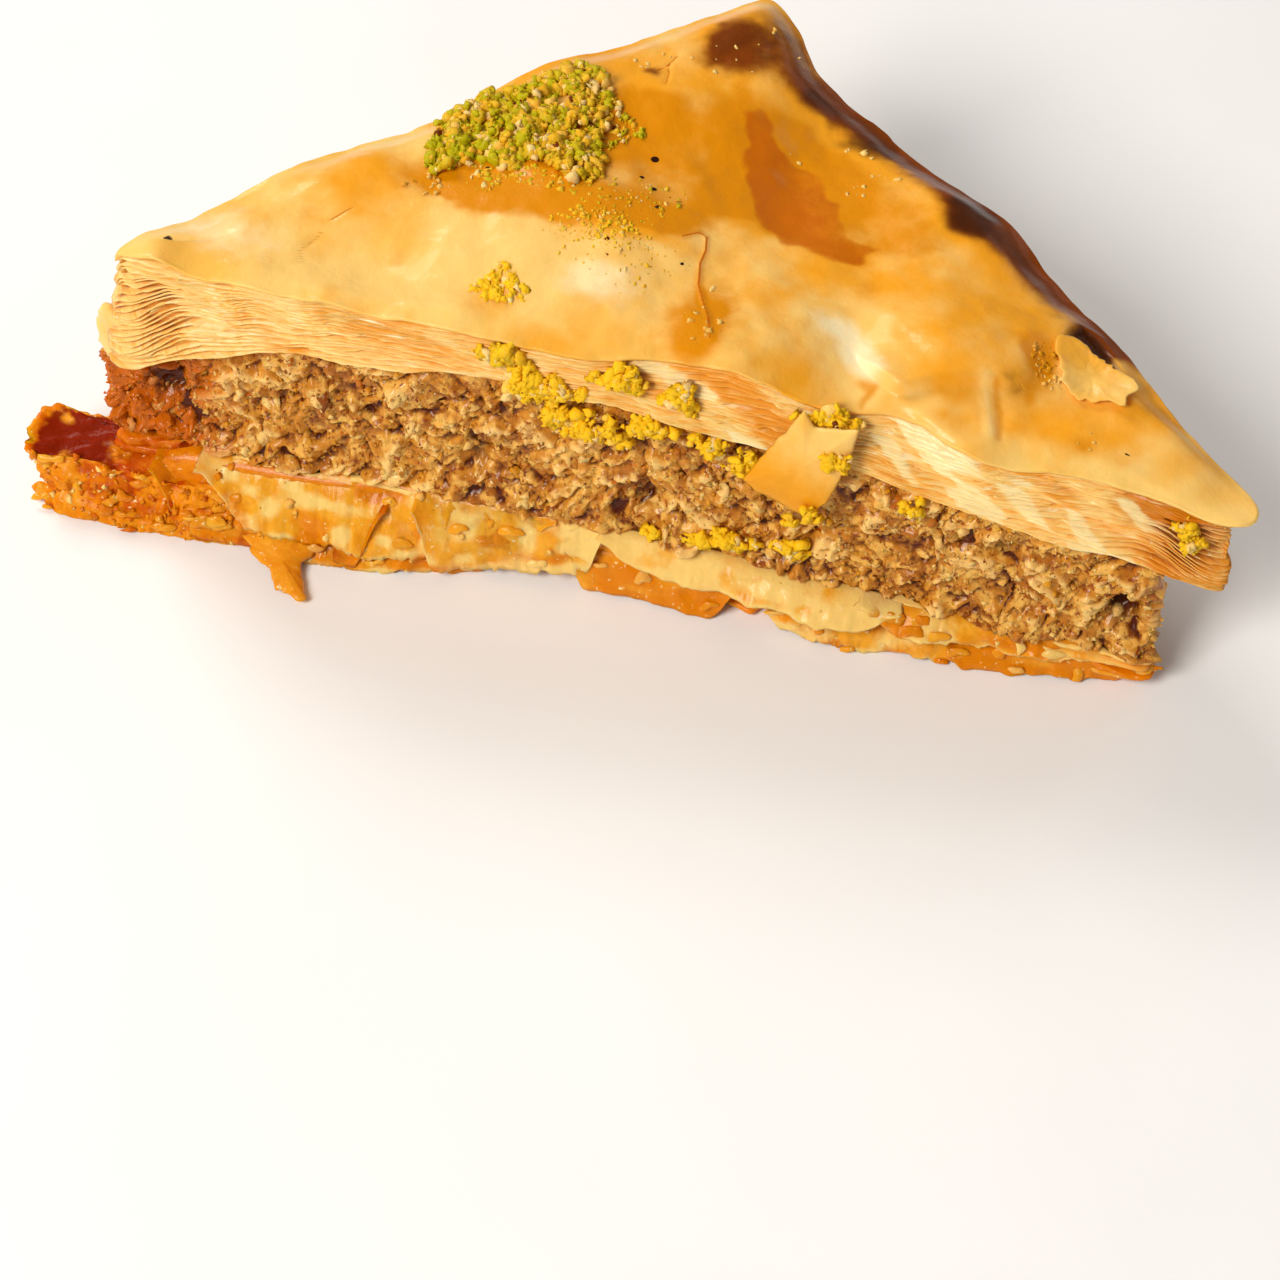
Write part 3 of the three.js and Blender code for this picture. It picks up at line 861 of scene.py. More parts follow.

# Filo soaked through with syrup: glassy pale yellow to amber, dark and red-brown where it caramelised. Deep
# paints shade between the sheets, in the sunk tears and on the core behind them.
SOAKED_FILO = Finish(
    name="syrup_soaked_filo",
    ground="F4A628",
    layers=(
        Layer(Pattern.LUMPS, 0.42, 0.68, "EA9414", size_mm=1.8),
        Layer("cream", 0.3, 0.9, "FBCC76"),
        Layer("amber", 0.25, 0.9, "E08000"),
        Layer("rust", 0.25, 0.9, "BE4C02"),
        Layer(Pattern.LUMPS, 0.62, 0.76, "FCDC9C", size_mm=0.5),
        Layer("caramel", 0.2, 0.85, "861E00"),
        # Painted shade between the sheets, in the sunk tears and on the cores.
        Layer("deep", 0.2, 1.0, "702C02"),
    ),
    roughness=0.26,
    bumps=((1.4, 0.12), (0.45, 0.045)),
    coat=0.2,
    coat_roughness=0.12,
    subsurface=0.3,
    subsurface_mm=1.2,
    ragged=0.55,
    ragged_mm=0.7,
    specular=0.12,
)

# The corner where the syrup burnt on: the same leaves, red-brown and drier.
CARAMELISED_FILO = replace(
    SOAKED_FILO,
    name="caramelised_filo",
    roughness=0.42,
    coat=0.08,
    specular=0.06,
    bumps=((1.0, 0.12), (0.35, 0.06)),
)

# Finely ground pistachio: yellow-green meat with greener and paler grains, a little damp.
GROUND_PISTACHIO = Finish(
    name="ground_pistachio",
    ground="EEB01C",
    layers=(
        Layer(Pattern.LUMPS, 0.42, 0.66, "F8C440", size_mm=0.6),
        Layer("yellow", 0.3, 0.8, "FFC81C"),
        Layer("green", 0.2, 0.9, "C0B40A"),
        Layer("pale", 0.4, 0.9, "FAD68C"),
        Layer("brown", 0.5, 1.0, "7A3606"),
    ),
    roughness=0.45,
    bumps=((0.3, 0.12), (0.12, 0.04)),
    coat=0.1,
    coat_roughness=0.2,
    subsurface=0.15,
    subsurface_mm=0.3,
    specular=0.1,
)

# Matt white card: a dull, faintly uneven white for the floor.
WHITE_CARD = Finish(
    name="matt_white_card",
    ground="F4F6FB",
    layers=(Layer(Pattern.LUMPS, 0.3, 0.7, "F8FAFF", size_mm=60.0),),
    roughness=0.9,
    bumps=((3.0, 0.01),),
)


# ---- Sub-assemblies ------------------------------------------------------------------------------


@dataclass
class Baklava:
    """What every sub-assembly of the piece shares: its form, and its place in the frame."""

    form: PieceForm = field(default_factory=PieceForm)
    origin_mm: Row = (5.5169, -19.2815)

    def to_frame(self, points: Array) -> Array:
        """Metres in the frame, from the piece's own millimetres: moved to the frame's origin, then scaled."""
        return (points + np.array([*self.origin_mm, 0.0])) * MM

    def dress(self, thing: Thing, slot: str, *nodes: str) -> Thing:
        """Lets a piece ride on the body, and hides the solids it stands for.

        Args:
            thing: the piece.
            slot: its material slot, which is not used.
            nodes: the solids that it replaces.

        Returns:
            The piece.
        """
        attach(thing, "root")
        if nodes:
            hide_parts(*nodes)
        return thing


@dataclass
class GlazedTop(Baklava):
    """The glazed top leaf: one puffed sheet over the whole stack, with its folds, stains and torn flap."""

    front_step: float = 0.2
    back_step: float = 0.33
    thickness: float = 0.35
    wrinkle: Noise = field(default_factory=lambda: Noise(3))
    # The lip of the big puff, which overlaps the pane in front of it.
    lip: Rows = (
        (13.0, 8.4), (15.2, 5.9), (18.3, 3.8), (21.2, 5.5), (24.0, 6.3), (27.1, 7.0), (29.6, 9.6),
    )
    # The hair-thin fold that runs down to the long cut face.
    hair: Rows = (
        (-2.6, 14.6), (-1.4, 15.8), (-0.7, 15.5), (-0.4, 13.9), (-0.5, 12.3), (-0.1, 10.0), (0.6, 8.4),
        (1.6, 6.3), (2.3, 3.9),
    )
    cracks: tuple[Rows, ...] = (
        ((-30.2, 10.4), (-31.7, 8.5), (-32.2, 6.8), (-33.2, 4.7), (-32.6, 3.6)),
        ((-9.4, 33.0), (-8.6, 34.0), (-8.1, 35.2)),
        ((-8.6, 34.0), (-8.3, 33.0), (-8.2, 31.6)),
        ((-22.0, 26.4), (-20.4, 24.8), (-19.8, 23.0)),
    )
    # The pool of syrup on the middle of the leaf.
    pool: Rows = (
        (-11.1, 29.6), (-4.9, 30.7), (-1.5, 33.4), (3.8, 32.1), (8.8, 29.9), (14.0, 25.5), (17.4, 21.9),
        (18.7, 19.5), (15.5, 18.5), (11.4, 17.3), (6.9, 17.9), (3.1, 19.2), (0.1, 17.0), (-2.8, 14.4),
        (-8.9, 14.4), (-12.6, 13.6), (-16.8, 13.0), (-21.5, 12.8), (-24.6, 14.6), (-24.5, 18.4),
        (-16.0, 26.0),
    )
    # The darker patch in it, where the leaf below shows through.
    boot: Rows = (
        (-1.7, 30.3), (-0.5, 31.8), (0.9, 31.0), (2.3, 28.8), (5.8, 27.3), (9.0, 24.6), (10.7, 20.3),
        (13.5, 19.3), (12.2, 17.5), (9.8, 16.7), (6.1, 17.6), (3.0, 19.8), (0.9, 23.0), (-0.7, 26.0),
    )
    # The edge of the glassy pane in front of the puff: its raised side, paler as a painted highlight, and the
    # groove beside it, more amber as painted shade.
    crease: tuple[Rows, ...] = (
        ((24.9, 6.7), (25.6, 4.8), (26.4, 2.1)),
        ((25.8, 6.8), (26.6, 4.8), (27.0, 2.2)),
    )
    # The gap that the torn flap left behind it: sunk, and painted near-black with char as shade.
    gap: Rows = (
        (30.3, 13.3), (30.9, 15.1), (31.8, 16.2), (32.7, 15.9), (34.0, 14.6), (35.8, 11.9), (36.0, 10.4),
        (34.1, 11.9), (33.0, 12.6), (31.7, 13.2),
    )
    # The slope down to the right cut edge, which caught the heat and faces away from the light: its toast, char
    # and amber are real browning and painted shade.
    scorched_and_shaded: Rows = (
        (-1.8, 45.6), (-4.6, 42.0), (-5.9, 38.6), (-5.4, 34.6), (-1.9, 34.4), (1.7, 35.4), (5.1, 34.5),
        (9.6, 32.1), (14.0, 28.9), (16.9, 25.7), (19.0, 22.4), (23.1, 21.0), (27.2, 19.3), (31.3, 17.1),
        (34.5, 13.6), (42.0, 14.0), (20.0, 38.0), (2.0, 48.0),
    )
    # Soft spots of each stain: centre, reach along X and Y, and strength.
    honey_spots: Rows = (
        (-30, 12, 7, 4, 0.45), (24, 13, 6, 4, 0.3), (-43, 5, 8, 6, -0.3), (-8.5, 14.6, 4.5, 2.4, 0.9),
        (-8, 8, 8, 5, -0.5),
    )
    # Painted highlights where the leaf's slopes face the light; the negative honey spots clear the honey under
    # them.
    pale_and_highlight_spots: Rows = (
        (11.8, 9.4, 2.8, 2.4, 1.2), (14.8, 6.7, 2.6, 2.0, 1.2), (-43, 7, 7, 5, 0.4), (-8, 7.5, 6, 3.0, 0.95),
        (-38, 4.4, 9, 3.4, 0.55), (19.5, 4.6, 3.0, 0.9, 0.5), (46, 2.5, 4, 2.0, 0.35),
    )
    # Where syrup ran out of the clump and the pool, dripped on the leaf, or shows in the tear.
    amber_spots: Rows = (
        (-24.5, 14.8, 3.8, 2.2, 0.9), (-15.5, 15.0, 4.4, 2.6, 0.7), (-20, 22, 8, 6, 0.5),
        (-25.7, 5.9, 1.8, 1.8, 0.45), (-33.8, 8.6, 3.0, 1.8, 0.35), (-15.9, 4.6, 2.2, 2.6, 0.6),
        (1.1, 5.6, 2.6, 4.2, 1.3), (33.6, 3.4, 1.3, 1.6, 0.7), (15.2, 4.0, 0.8, 1.6, 0.7),
        (29.2, 10.8, 1.5, 2.6, 1.3), (28.2, 7.2, 1.2, 1.2, 0.6), (13.6, 15.0, 1.6, 1.4, 0.45),
    )
    deep_spots: Rows = (
        (1.4, 23.4, 1.4, 1.0, 0.3), (15.2, 19.4, 2.6, 1.4, 0.3), (29.2, 9.8, 0.9, 1.6, 0.5),
    )
    toast_spots: Rows = (
        (-9.0, 32.6, 0.9, 0.7, 0.8), (33.4, 14.6, 2.6, 1.4, 0.8), (40.5, 9.0, 4, 1.2, 0.3),
    )
    char_spots: Rows = (
        (19.2, 25.8, 2.8, 1.3, 0.6), (21.6, 23.2, 3.4, 1.6, 0.75), (8.6, 32.0, 3.6, 1.6, 0.7),
        (-0.4, 37.8, 1.8, 1.5, 0.55), (4.7, 36.0, 2.2, 1.4, 0.45), (29.8, 16.4, 2.4, 0.9, 0.4),
    )
    # Burnt specks: centre and reach.
    specks: Rows = (
        (-44.1, 2.9, 0.42), (-16.6, 23.9, 0.5), (-7.1, 23.2, 0.42), (-3.9, 18.7, 0.25), (-20.4, 17.6, 0.3),
        (-6.3, 19.4, 0.36), (-5.4, 17.2, 0.3), (-1.9, 11.6, 0.22), (37.4, 3.6, 0.24), (-7.6, 20.6, 0.25),
    )

    def stains(self, x: Array, y: Array) -> dict[str, Array]:
        """Where syrup soaked in and where the leaf browned, with painted highlights and painted shade: soft
        spots, and outlines blended at their edges.

        Args:
            x: X of each place.
            y: Y of each place.

        Returns:
            The attributes of the glazed filo.
        """
        n = self.wrinkle
        wx = x + 0.8 * n.fractal(x / 4.0, y / 4.0) + 0.2 * n(x / 0.9, y / 0.9 + 7)
        wy = y + 0.8 * n.fractal(x / 4.0 + 50, y / 4.0) + 0.2 * n(x / 0.9 + 9, y / 0.9)

        def spots(rows: Sequence[Row]) -> Array:
            """Sum of soft spots."""
            return sum(Swell(*row).at(wx, wy) for row in rows)

        patchy = n.fractal(x / 5.0 + 9, y / 5.0 + 3)
        honey = 0.22 + 0.3 * ease(x, -14.0, 10.0) + 0.35 * patchy + 0.4 * ease(y, 14.0, 26.0)
        honey = honey + spots(self.honey_spots) - 0.3 * ease(-y, -5.0, -1.0) * ease(x, 5, 20)
        # pale is painted highlight, and is taken out of the honey.
        pale = spots(self.pale_and_highlight_spots)
        pool = region(wx, wy, self.pool, 3.0) * (0.8 + 0.3 * patchy)
        boot = region(wx, wy, self.boot, 1.2) * (0.66 + 0.2 * patchy)
        hair = path_distance(x, y, self.hair)[0]
        # The pane's ridge is painted paler as a highlight and its groove more amber as shade.
        ridge, groove = (path_distance(x, y, path)[0] for path in self.crease)
        # Deep along the cracks is painted shade in their grooves.
        cracks = sum(ease(0.1 - path_distance(x, y, crack)[0], -0.06, 0.06) for crack in self.cracks)
        # Toast, char and amber on the scorched slope are browning and painted shade where it faces away from
        # the light.
        scorched_and_shaded = region(wx, wy, self.scorched_and_shaded, 4.4)
        apex = bell(np.hypot((x + 1.0) / 5.0, (y - 43.5) / 4.5))
        toast = scorched_and_shaded * (1.0 + 0.3 * patchy) * (1 - 0.65 * apex)
        # Char in the flap's gap is painted shade.
        char = 0.5 * scorched_and_shaded * ease(patchy, -0.1, 0.5) + 0.9 * region(x, y, self.gap, 0.5)
        by_hair = 0.35 * ease(0.4 - hair, -0.4, 0.3)
        return {
            "honey": honey - pale - 0.4 * bell(ridge / 0.7),
            "amber": pool + spots(self.amber_spots) + by_hair + 0.3 * scorched_and_shaded + 0.55 * bell(groove / 0.45),
            "deep": boot + spots(self.deep_spots) + 0.9 * ease(0.1 - hair, -0.05, 0.05) + 0.7 * cracks,
            "toast": toast + spots(self.toast_spots),
            "char": char + spots(self.char_spots),
            "speck": sum(Swell(px, py, r, r, 1.0).at(x, y) for px, py, r in self.specks),
            "pale": 0.9 * pale - 0.15 + 0.5 * bell(ridge / 0.5),
        }

    def relief(self, x: Array, y: Array) -> Array:
        """Fine rise of the leaf: soft folds, the puff's lip, the pane's ridge and groove, the hair-thin fold.

        Args:
            x: X of each place.
            y: Y of each place.

        Returns:
            The rise.
        """
        n = self.wrinkle
        soft = 0.42 * n.fractal(x / 8.0, y / 8.0, octaves=2)
        soft = soft + 0.1 * n.fractal(x / 2.4 + 20, y / 2.4, octaves=2)
        run = np.linspace(12.0, 31.0, 96)
        line = np.interp(run, [p[0] for p in self.lip], [p[1] for p in self.lip])
        weights = bell(np.linspace(-1.6, 1.6, 15))
        line = np.convolve(np.pad(line, 7, mode="edge"), weights / weights.sum(), mode="valid")
        behind = y - np.interp(x, run, line)
        window = ease(x, 13.4, 16.5) * ease(-x, -29.6, -26.6)
        lip = 1.1 * ease(behind, -0.5, 0.5) * np.exp(-np.clip(behind, 0, None) / 5.0) * window
        raised, sunk = (path_distance(x, y, path)[0] for path in self.crease)
        ridges = 0.1 * bell(raised / 0.5) - 0.16 * bell(sunk / 0.5) - 0.7 * region(x, y, self.gap, 0.5)
        hair = 0.1 * bell(path_distance(x, y, self.hair)[0] / 0.25)
        groove = sum(0.12 * bell(path_distance(x, y, crack)[0] / 0.18) for crack in self.cracks)
        return soft + lip + ridges + hair - groove

    def front_edge(self, x: Array) -> Array:
        """Rise of the leaf at the long cut face: small tents where it stands off the leaves below."""
        tents = 0.75 * bell((x + 44.0) / 1.5) + 0.35 * bell((x + 28.5) / 2.2) + 0.3 * bell((x + 36) / 2.5)
        return tents + 0.12 * self.wrinkle(x / 2.5, 5)

    def height(self, x: Array, y: Array) -> Array:
        """Height of the leaf's upper face away from its edges."""
        return self.form.top_height(x, y) + self.relief(x, y)

    def build(self) -> Thing:
        """Builds the sheet: upper rings from the edge inwards, a rounded edge, and an underside.

        Returns:
            The piece.
        """
        form = self.form
        o = form.leaf(self.front_step, self.back_step)
        insets = np.concatenate([[0.0, 0.1, 0.22, 0.36, 0.54, 0.76], np.arange(1.0, 19.6, 0.225)])[:, None]
        swell = (form.edge_swell(o) - form.setback(o))[None] * (1 - insets / form.inradius)
        frayed = 0.1 * self.wrinkle(o.s / 1.4, 0) * np.exp(-insets / 0.5)
        x, y = form.placed(o, insets, swell + frayed)
        tent = self.front_edge(x) * o.front * np.exp(-insets / 1.6)
        z = self.height(x, y) - form.droop(o, insets) + tent
        top = np.stack([x, y, z], axis=-1)
        deeper = 1.6 * ease(insets, 1.0, 3.0)[::-8, :, None] * np.ones((1, len(o.x), 1))
        under = top[::-8] - (self.thickness + deeper) * np.array([0.0, 0.0, 1.0])
        edge = top[:1] - np.array([0.0, 0.0, self.thickness * 0.5])
        edge = edge + np.stack([0.06 * o.nx, 0.06 * o.ny, 0 * o.nx], axis=-1)
        rings = np.concatenate([under, edge, top])
        surface = Surface()
        surface.add_rings(rings, **self.stains(rings[..., 0], rings[..., 1]))
        thing = surface.build("glazed_top_leaf", GLAZED_FILO.material(), self.to_frame)
        return self.dress(thing, "glazed_filo", "filo_stack")


@dataclass
class LeafStack(Baklava):
    """The leaves of the stack: thin closed bands round the piece, that wave, part and step in and out."""

    leaves: int = 23
    thickness: float = 0.25
    depth: float = 3.5
    # Waves that bunch and part the leaves: length along the face, and greatest swing.
    waves: Rows = ((9.0, 0.42), (6.0, 0.3), (4.0, 0.2))
    top: GlazedTop = field(default_factory=GlazedTop)
    wave: Noise = field(default_factory=lambda: Noise(11))

    def levels(self, o: Outline, share: Array) -> Array:
        """Share of the stack's height at which leaves lie: sine terms bunch and part them along the face.

        Args:
            o: the stack's outline.
            share: the leaves' even shares of the height.

        Returns:
            The bunched shares.
        """
        t = share
        for k, (size, most) in enumerate(self.waves, start=1):
            swing = most * self.wave.fractal(o.s / size + 13 * k, 0, octaves=2)
            t = t + swing * np.sin(k * np.pi * share) / (k * np.pi)
        return t

    def reach(self, o: Outline, level: Array) -> Array:
        """How far out the leaves reach: a flare at the left corner, and noise that moves bundles together.

        Args:
            o: the stack's outline.
            level: share of the stack's height.

        Returns:
            The reach along the outline's normals.
        """
        flare = (1 - level) * (0.4 + 1.9 * bell((o.x + 49.8) / 7.0))
        bundles = 0.42 * self.wave.fractal(o.s / 6.0 + 2.2 * level, level * 4.5 + 9, octaves=2)
        back = self.form.setback(o) * level**1.3 + self.form.notch(o, level)
        return self.form.edge_swell(o) - back + flare + bundles - 0.25

    def rings(self, o: Outline, leaf: int) -> tuple[Array, dict[str, Array]]:
        """Rings of one leaf: inner bottom, along the underside to the edge, and back over the upper face.

        Args:
            o: the stack's outline.
            leaf: its number, counted from below.

        Returns:
            The rings, and the attributes of their points.
        """
        form, noise = self.form, self.wave
        share = (leaf + 0.5) / self.leaves
        level = self.levels(o, np.full(o.s.shape, share))
        ragged = 0.05 * noise(o.s / 0.7, leaf) + 0.14 * noise(o.s / 3.2, leaf + 40)
        torn = -0.6 * ease(noise(o.s / 3.1 + 70, leaf * 1.7), 0.5, 0.85)
        out = self.reach(o, level) + ragged + torn * mix(1.0, 0.6, o.front)
        insets = np.array([self.depth, 1.4, 0.4, 0.05, 0.0, 0.05, 0.4, 1.4, self.depth])[:, None]
        sides = np.array([-1, -1, -1, -0.7, 0, 0.7, 1, 1, 1])[:, None] * self.thickness / 2
        reach = np.exp(-insets / 1.5)
        x, y = form.placed(o, insets, mix(form.edge_swell(o) - form.setback(o) - 0.3, out, reach))
        floor = form.stack_bottom(x) + form.layer_gap / 2 + self.thickness
        ceiling = self.top.height(x, y) - form.droop(o, insets) - self.top.thickness - self.thickness
        ceiling = ceiling - 0.9 * ease(insets, 0.8, 3.0)
        curl = 0.75 * np.sin(2 * np.pi * (o.x + 36) / 8.5 + 2.2 * level) * bell((o.x + 37.5) / 7.0) * o.front
        swing = (curl * level + 0.34 * noise(o.s / 5.0, level * 2.0)) * np.sin(np.pi * share) * reach
        hang = -0.4 * np.clip(out - form.edge_swell(o), 0, None) * np.exp(-insets / 0.5)
        z = mix(floor, ceiling, level) + swing + hang + 0.04 * noise(o.s / 0.7, leaf + 90) + sides
        x, y, z = np.broadcast_arrays(x, y, z)
        bands = noise(o.s / 3.6 + 2.6 * level, level * 1.3 + 5)
        right = ease(o.x, -8.0, 2.0)
        stain = 0.35 + 0.8 * bands * (0.4 + 0.6 * right) + 0.2 * bell((o.x + 22) / 7) * o.front
        stain = stain + 0.25 * noise(o.s / 1.3, leaf) + 0.25 * (1 - o.front) + 0.15 * ease(o.x, 34, 44)
        amber = 0.9 * bell((o.x - 41.5) / 4.0) * ease(level, 0.45, 0.8) * o.front
        amber = amber + 0.25 * ease(bands, 0.35, 0.7) + 0.3 * (1 - o.front) + 0.3 * ease(o.x, 30, 44)
        fine = noise(o.s / 2.2 + 3.0 * level, level * 5.0 + 60)
        # Ivory is cream leaf with painted highlights on the cut face's leaf edges.
        ivory = (0.3 + 0.7 * right) * ease(fine - 0.9 * bands, 0.0, 0.7)
        ivory = ivory * (1 - 0.5 * ease(o.x, 36, 44)) * o.front
        # Deep darkens the leaves further in as painted shade between them.
        fields = {"stain": stain, "amber": amber, "ivory": ivory, "deep": 0.9 * ease(insets, 0.3, 1.2)}
        return np.stack([x, y, z], axis=-1), fields

    def build(self) -> list[Thing]:
        """Builds the leaves in four bundles, and the soft core behind them.

        Returns:
            The pieces.
        """
        o = self.form.leaf(0.16, 0.36)
        material = LEAF_EDGE.material()
        pieces = []
        bundles = np.array_split(np.arange(self.leaves), 4)
        for number, bundle in enumerate(bundles):
            surface = Surface()
            for leaf in bundle:
                rings, fields = self.rings(o, int(leaf))
                surface.add_rings(rings, closed=True, **fields)
            thing = surface.build(f"stack_leaves_{number + 1}", material, self.to_frame)
            pieces.append(self.dress(thing, "glazed_filo", "filo_stack"))
        pieces.append(self.core(material))
        return pieces

    def core(self, material: Material) -> Thing:
        """The pressed leaves behind the edges: a body that follows them a little further in.

        Args:
            material: the leaves' finish.

        Returns:
            The piece.
        """
        form = self.form
        o = form.leaf(0.4, 0.8)
        level = np.linspace(0.0, 1.0, 18)[:, None]
        behind = 0.75 + 0.5 * ease(level, 0.85, 1.0)
        edge = form.edge_swell(o) - form.setback(o) - form.notch(o, level)
        sides = form.placed(o, behind, mix(self.reach(o, level), edge, level**4) - 0.1)
        above = ((2.6, 1.0), (4.0, 1.0), (7.0, 0.8), (12.0, 0.6))
        spans = [(form.placed(o, inset, form.edge_swell(o)), 0.0) for inset in (12.0, 4.0)]
        spans += [((sides[0][k], sides[1][k]), float(level[k, 0])) for k in range(len(level))]
        spans += [(form.placed(o, inset, 0.0), share) for inset, share in above]
        rings = []
        for number, ((x, y), share) in enumerate(spans):
            floor = form.stack_bottom(x) + form.layer_gap / 2 + 0.05
            hidden = 1.4 * (number > 1 + len(level))
            ceiling = self.top.height(x, y) - form.droop(o, np.asarray(1.0)) - 0.7 - hidden
            rings.append(np.stack([x, y, mix(floor, ceiling, share)], axis=-1))
        surface = Surface()
        # Deep darkens the core as painted shade behind the leaf edges.
        surface.add_rings(np.stack(rings), stain=0.6, amber=0.3, ivory=0.0, deep=0.45)
        thing = surface.build("stack_core", material, self.to_frame)
        return self.dress(thing, "glazed_filo", "filo_stack")


@dataclass
class NutFilling(Baklava):
    """Ground walnut in syrup: a crumbly body, and the loose lumps that stand out of its sides."""

    seed: int = 5
    ends: Row = (-52.8, 43.5, 0.5, 46.6)
    # How far the broad, lumpy, grainy and fine crags stand out.
    crags: Row = (1.15, 0.9, 0.42, 0.16)
    # Loose lumps: their piece's name, how many, least and greatest radius, and how far sunk, as a share of it.
    kinds: tuple[tuple[str, int, float, float, float], ...] = (
        ("nut_lumps", 1500, 0.2, 0.78, 0.75),
        ("nut_crumbs", 4600, 0.08, 0.24, 0.15),
    )
    # Hollows of the long cut face: x, z, reach and depth.
    hollows: Rows = (
        (-45.5, 14.5, 2.2, 2.4), (-17.5, 12.5, 1.5, 1.3), (-2.5, 11.5, 1.7, 1.5), (28.5, 14.0, 1.3, 1.3),
        (39.6, 8.7, 1.7, 2.6),
    )
    crumb: Noise = field(default_factory=lambda: Noise(29))

    def outline(self, front_step: float, back_step: float) -> Outline:
        """Outline of the filling, with its spacing on the long cut face and elsewhere."""
        return outline(self.form.triangle(*self.ends), front_step, back_step)

    def side(self, o: Outline, level: Array) -> tuple[Array, Array, Array]:
        """Places on the side of the filling: crags of four sizes, less the hollows of the long cut face.

        The crags are folds of noise, |noise|, on axes that are turned and bent, so that they run no one way.

        Args:
            o: the outline.
            level: share of the height, that broadcasts against the outline.

        Returns:
            The places, how far the crags push each out, and how deep each lies in a hollow.
        """
        form, n = self.form, self.crumb
        guess = mix(form.base_top(o.x), form.stack_bottom(o.x), level)
        u = o.s + 1.1 * n(o.s / 2.3 + 11, guess / 2.3) + 0.35 * n(o.s / 0.9 + 17, guess / 0.9)
        w = guess + 1.1 * n(o.s / 2.3 + 77, guess / 2.3) + 0.35 * n(o.s / 0.9 + 83, guess / 0.9)
        folds = (
            n((u + 0.5 * w) / 2.8, (w - 0.5 * u) / 2.6),
            n((u - 0.7 * w) / 1.4 + 50, (w + 0.7 * u) / 1.3),
            n((u + 0.3 * w) / 0.6 + 90, (w - 0.3 * u) / 0.6),
            n(o.s / 0.33 + 130, guess / 0.33),
        )
        crags = sum(height * (np.abs(fold) - 0.35) for height, fold in zip(self.crags, folds))
        hollow = sum(
            deep * bell(np.hypot(o.x - x, guess - z) / reach) * (o.ny < 0) for x, z, reach, deep in self.hollows
        )
        spill = 1.5 * ease(0.3 - level, 0.0, 0.3) * (0.6 + 0.6 * n(o.s / 3.4, 7)) * (o.ny < -0.5)
        out = form.edge_swell(o) + crags - hollow - 0.35 + spill
        x, y = form.placed(o, 0.0 * level, out)
        z = mix(form.base_top(x) + form.layer_gap / 2, form.stack_bottom(x) - form.layer_gap / 2, level)
        return np.stack([x, y, z], axis=-1), crags, hollow / 2.4 + 0.9 * ease(-crags, 0.28, 0.72)

    def tone(self, x: Array) -> Array:
        """How syrupy and orange the filling is along the piece: most at the left corner."""
        left = 1.1 * ease(-x, 37.0, 49.0) + 0.35 * ease(-x, 20.0, 34.0)
        return left + 0.5 * ease(x, 38.0, 43.0)

    def build(self) -> list[Thing]:
        """Builds the body and its lumps.

        Returns:
            The pieces.
        """
        material = GROUND_WALNUT.material()
        form = self.form
        o = self.outline(0.2, 0.45)
        level = np.linspace(0.0, 1.0, 84)[:, None]
        side, crags, deep = self.side(o, level)
        seams = []
        for height, insets in ((0.0, (9.0, 3.0)), (1.0, (3.0, 9.0))):
            for inset in insets:
                x, y = form.placed(o, inset, form.edge_swell(o))
                low = form.base_top(x) + form.layer_gap / 2
                high = form.stack_bottom(x) - form.layer_gap / 2
                seams.append(np.stack([x, y, mix(low, high, height)], axis=-1))
        rings = np.concatenate([np.stack(seams[:2]), side, np.stack(seams[2:])])
        surface = Surface()
        edge = np.zeros((2, deep.shape[1]))
        fields = {
            # Deep is painted shade in the hollows and crevices.
            "deep": deep,
            # Paler on the crags' crests as painted light, browner in their dips as painted shade.
            "pale": 0.9 * ease(crags, 0.1, 0.8),
            "brown": 0.7 * ease(-crags, 0.0, 0.5),
        }
        fields = {name: np.concatenate([edge, values, edge]) for name, values in fields.items()}
        surface.add_rings(rings, syrup=self.tone(rings[..., 0]), golden=0, **fields)
        body = surface.build("nut_body", material, self.to_frame)
        self.dress(body, "ground_nuts", "nut_filling")
        return [body, *self.lumps(material)]

    def lumps(self, material: Material) -> list[Thing]:
        """Lumps all over the sides, a quarter of them large, coloured as meat, skin or syrupy crumb.

        Args:
            material: the filling's finish.

        Returns:
            The pieces.
        """
        rng = np.random.default_rng(self.seed)
        o = self.outline(0.25, 0.5)
        pieces = []
        for name, count, small, large, sunk in self.kinds:
            pick = rng.choice(len(o.s), count)
            level = rng.uniform(0.03, 0.97, count)
            part = Outline(*[column[pick] for column in (o.x, o.y, o.nx, o.ny, o.s)])
            places, crags, deep = self.side(part, level)
            radius = small * (large / small) ** (rng.uniform(0, 1, count) ** 1.6)
            normal = np.stack([part.nx, part.ny, 0 * part.nx], axis=-1)
            centres = places - normal * (radius * sunk)[:, None]
            low = self.form.base_top(centres[:, 0]) + 0.5 * radius
            high = self.form.stack_bottom(centres[:, 0]) - 0.5 * radius
            centres[:, 2] = np.clip(centres[:, 2], low, high)
            keep = deep < 0.75
            kind = rng.uniform(0, 1, count)
            share = rng.uniform(0.2, 1.0, count)
            syrupy = 0.6 * ((kind > 0.74) & (kind < 0.82))
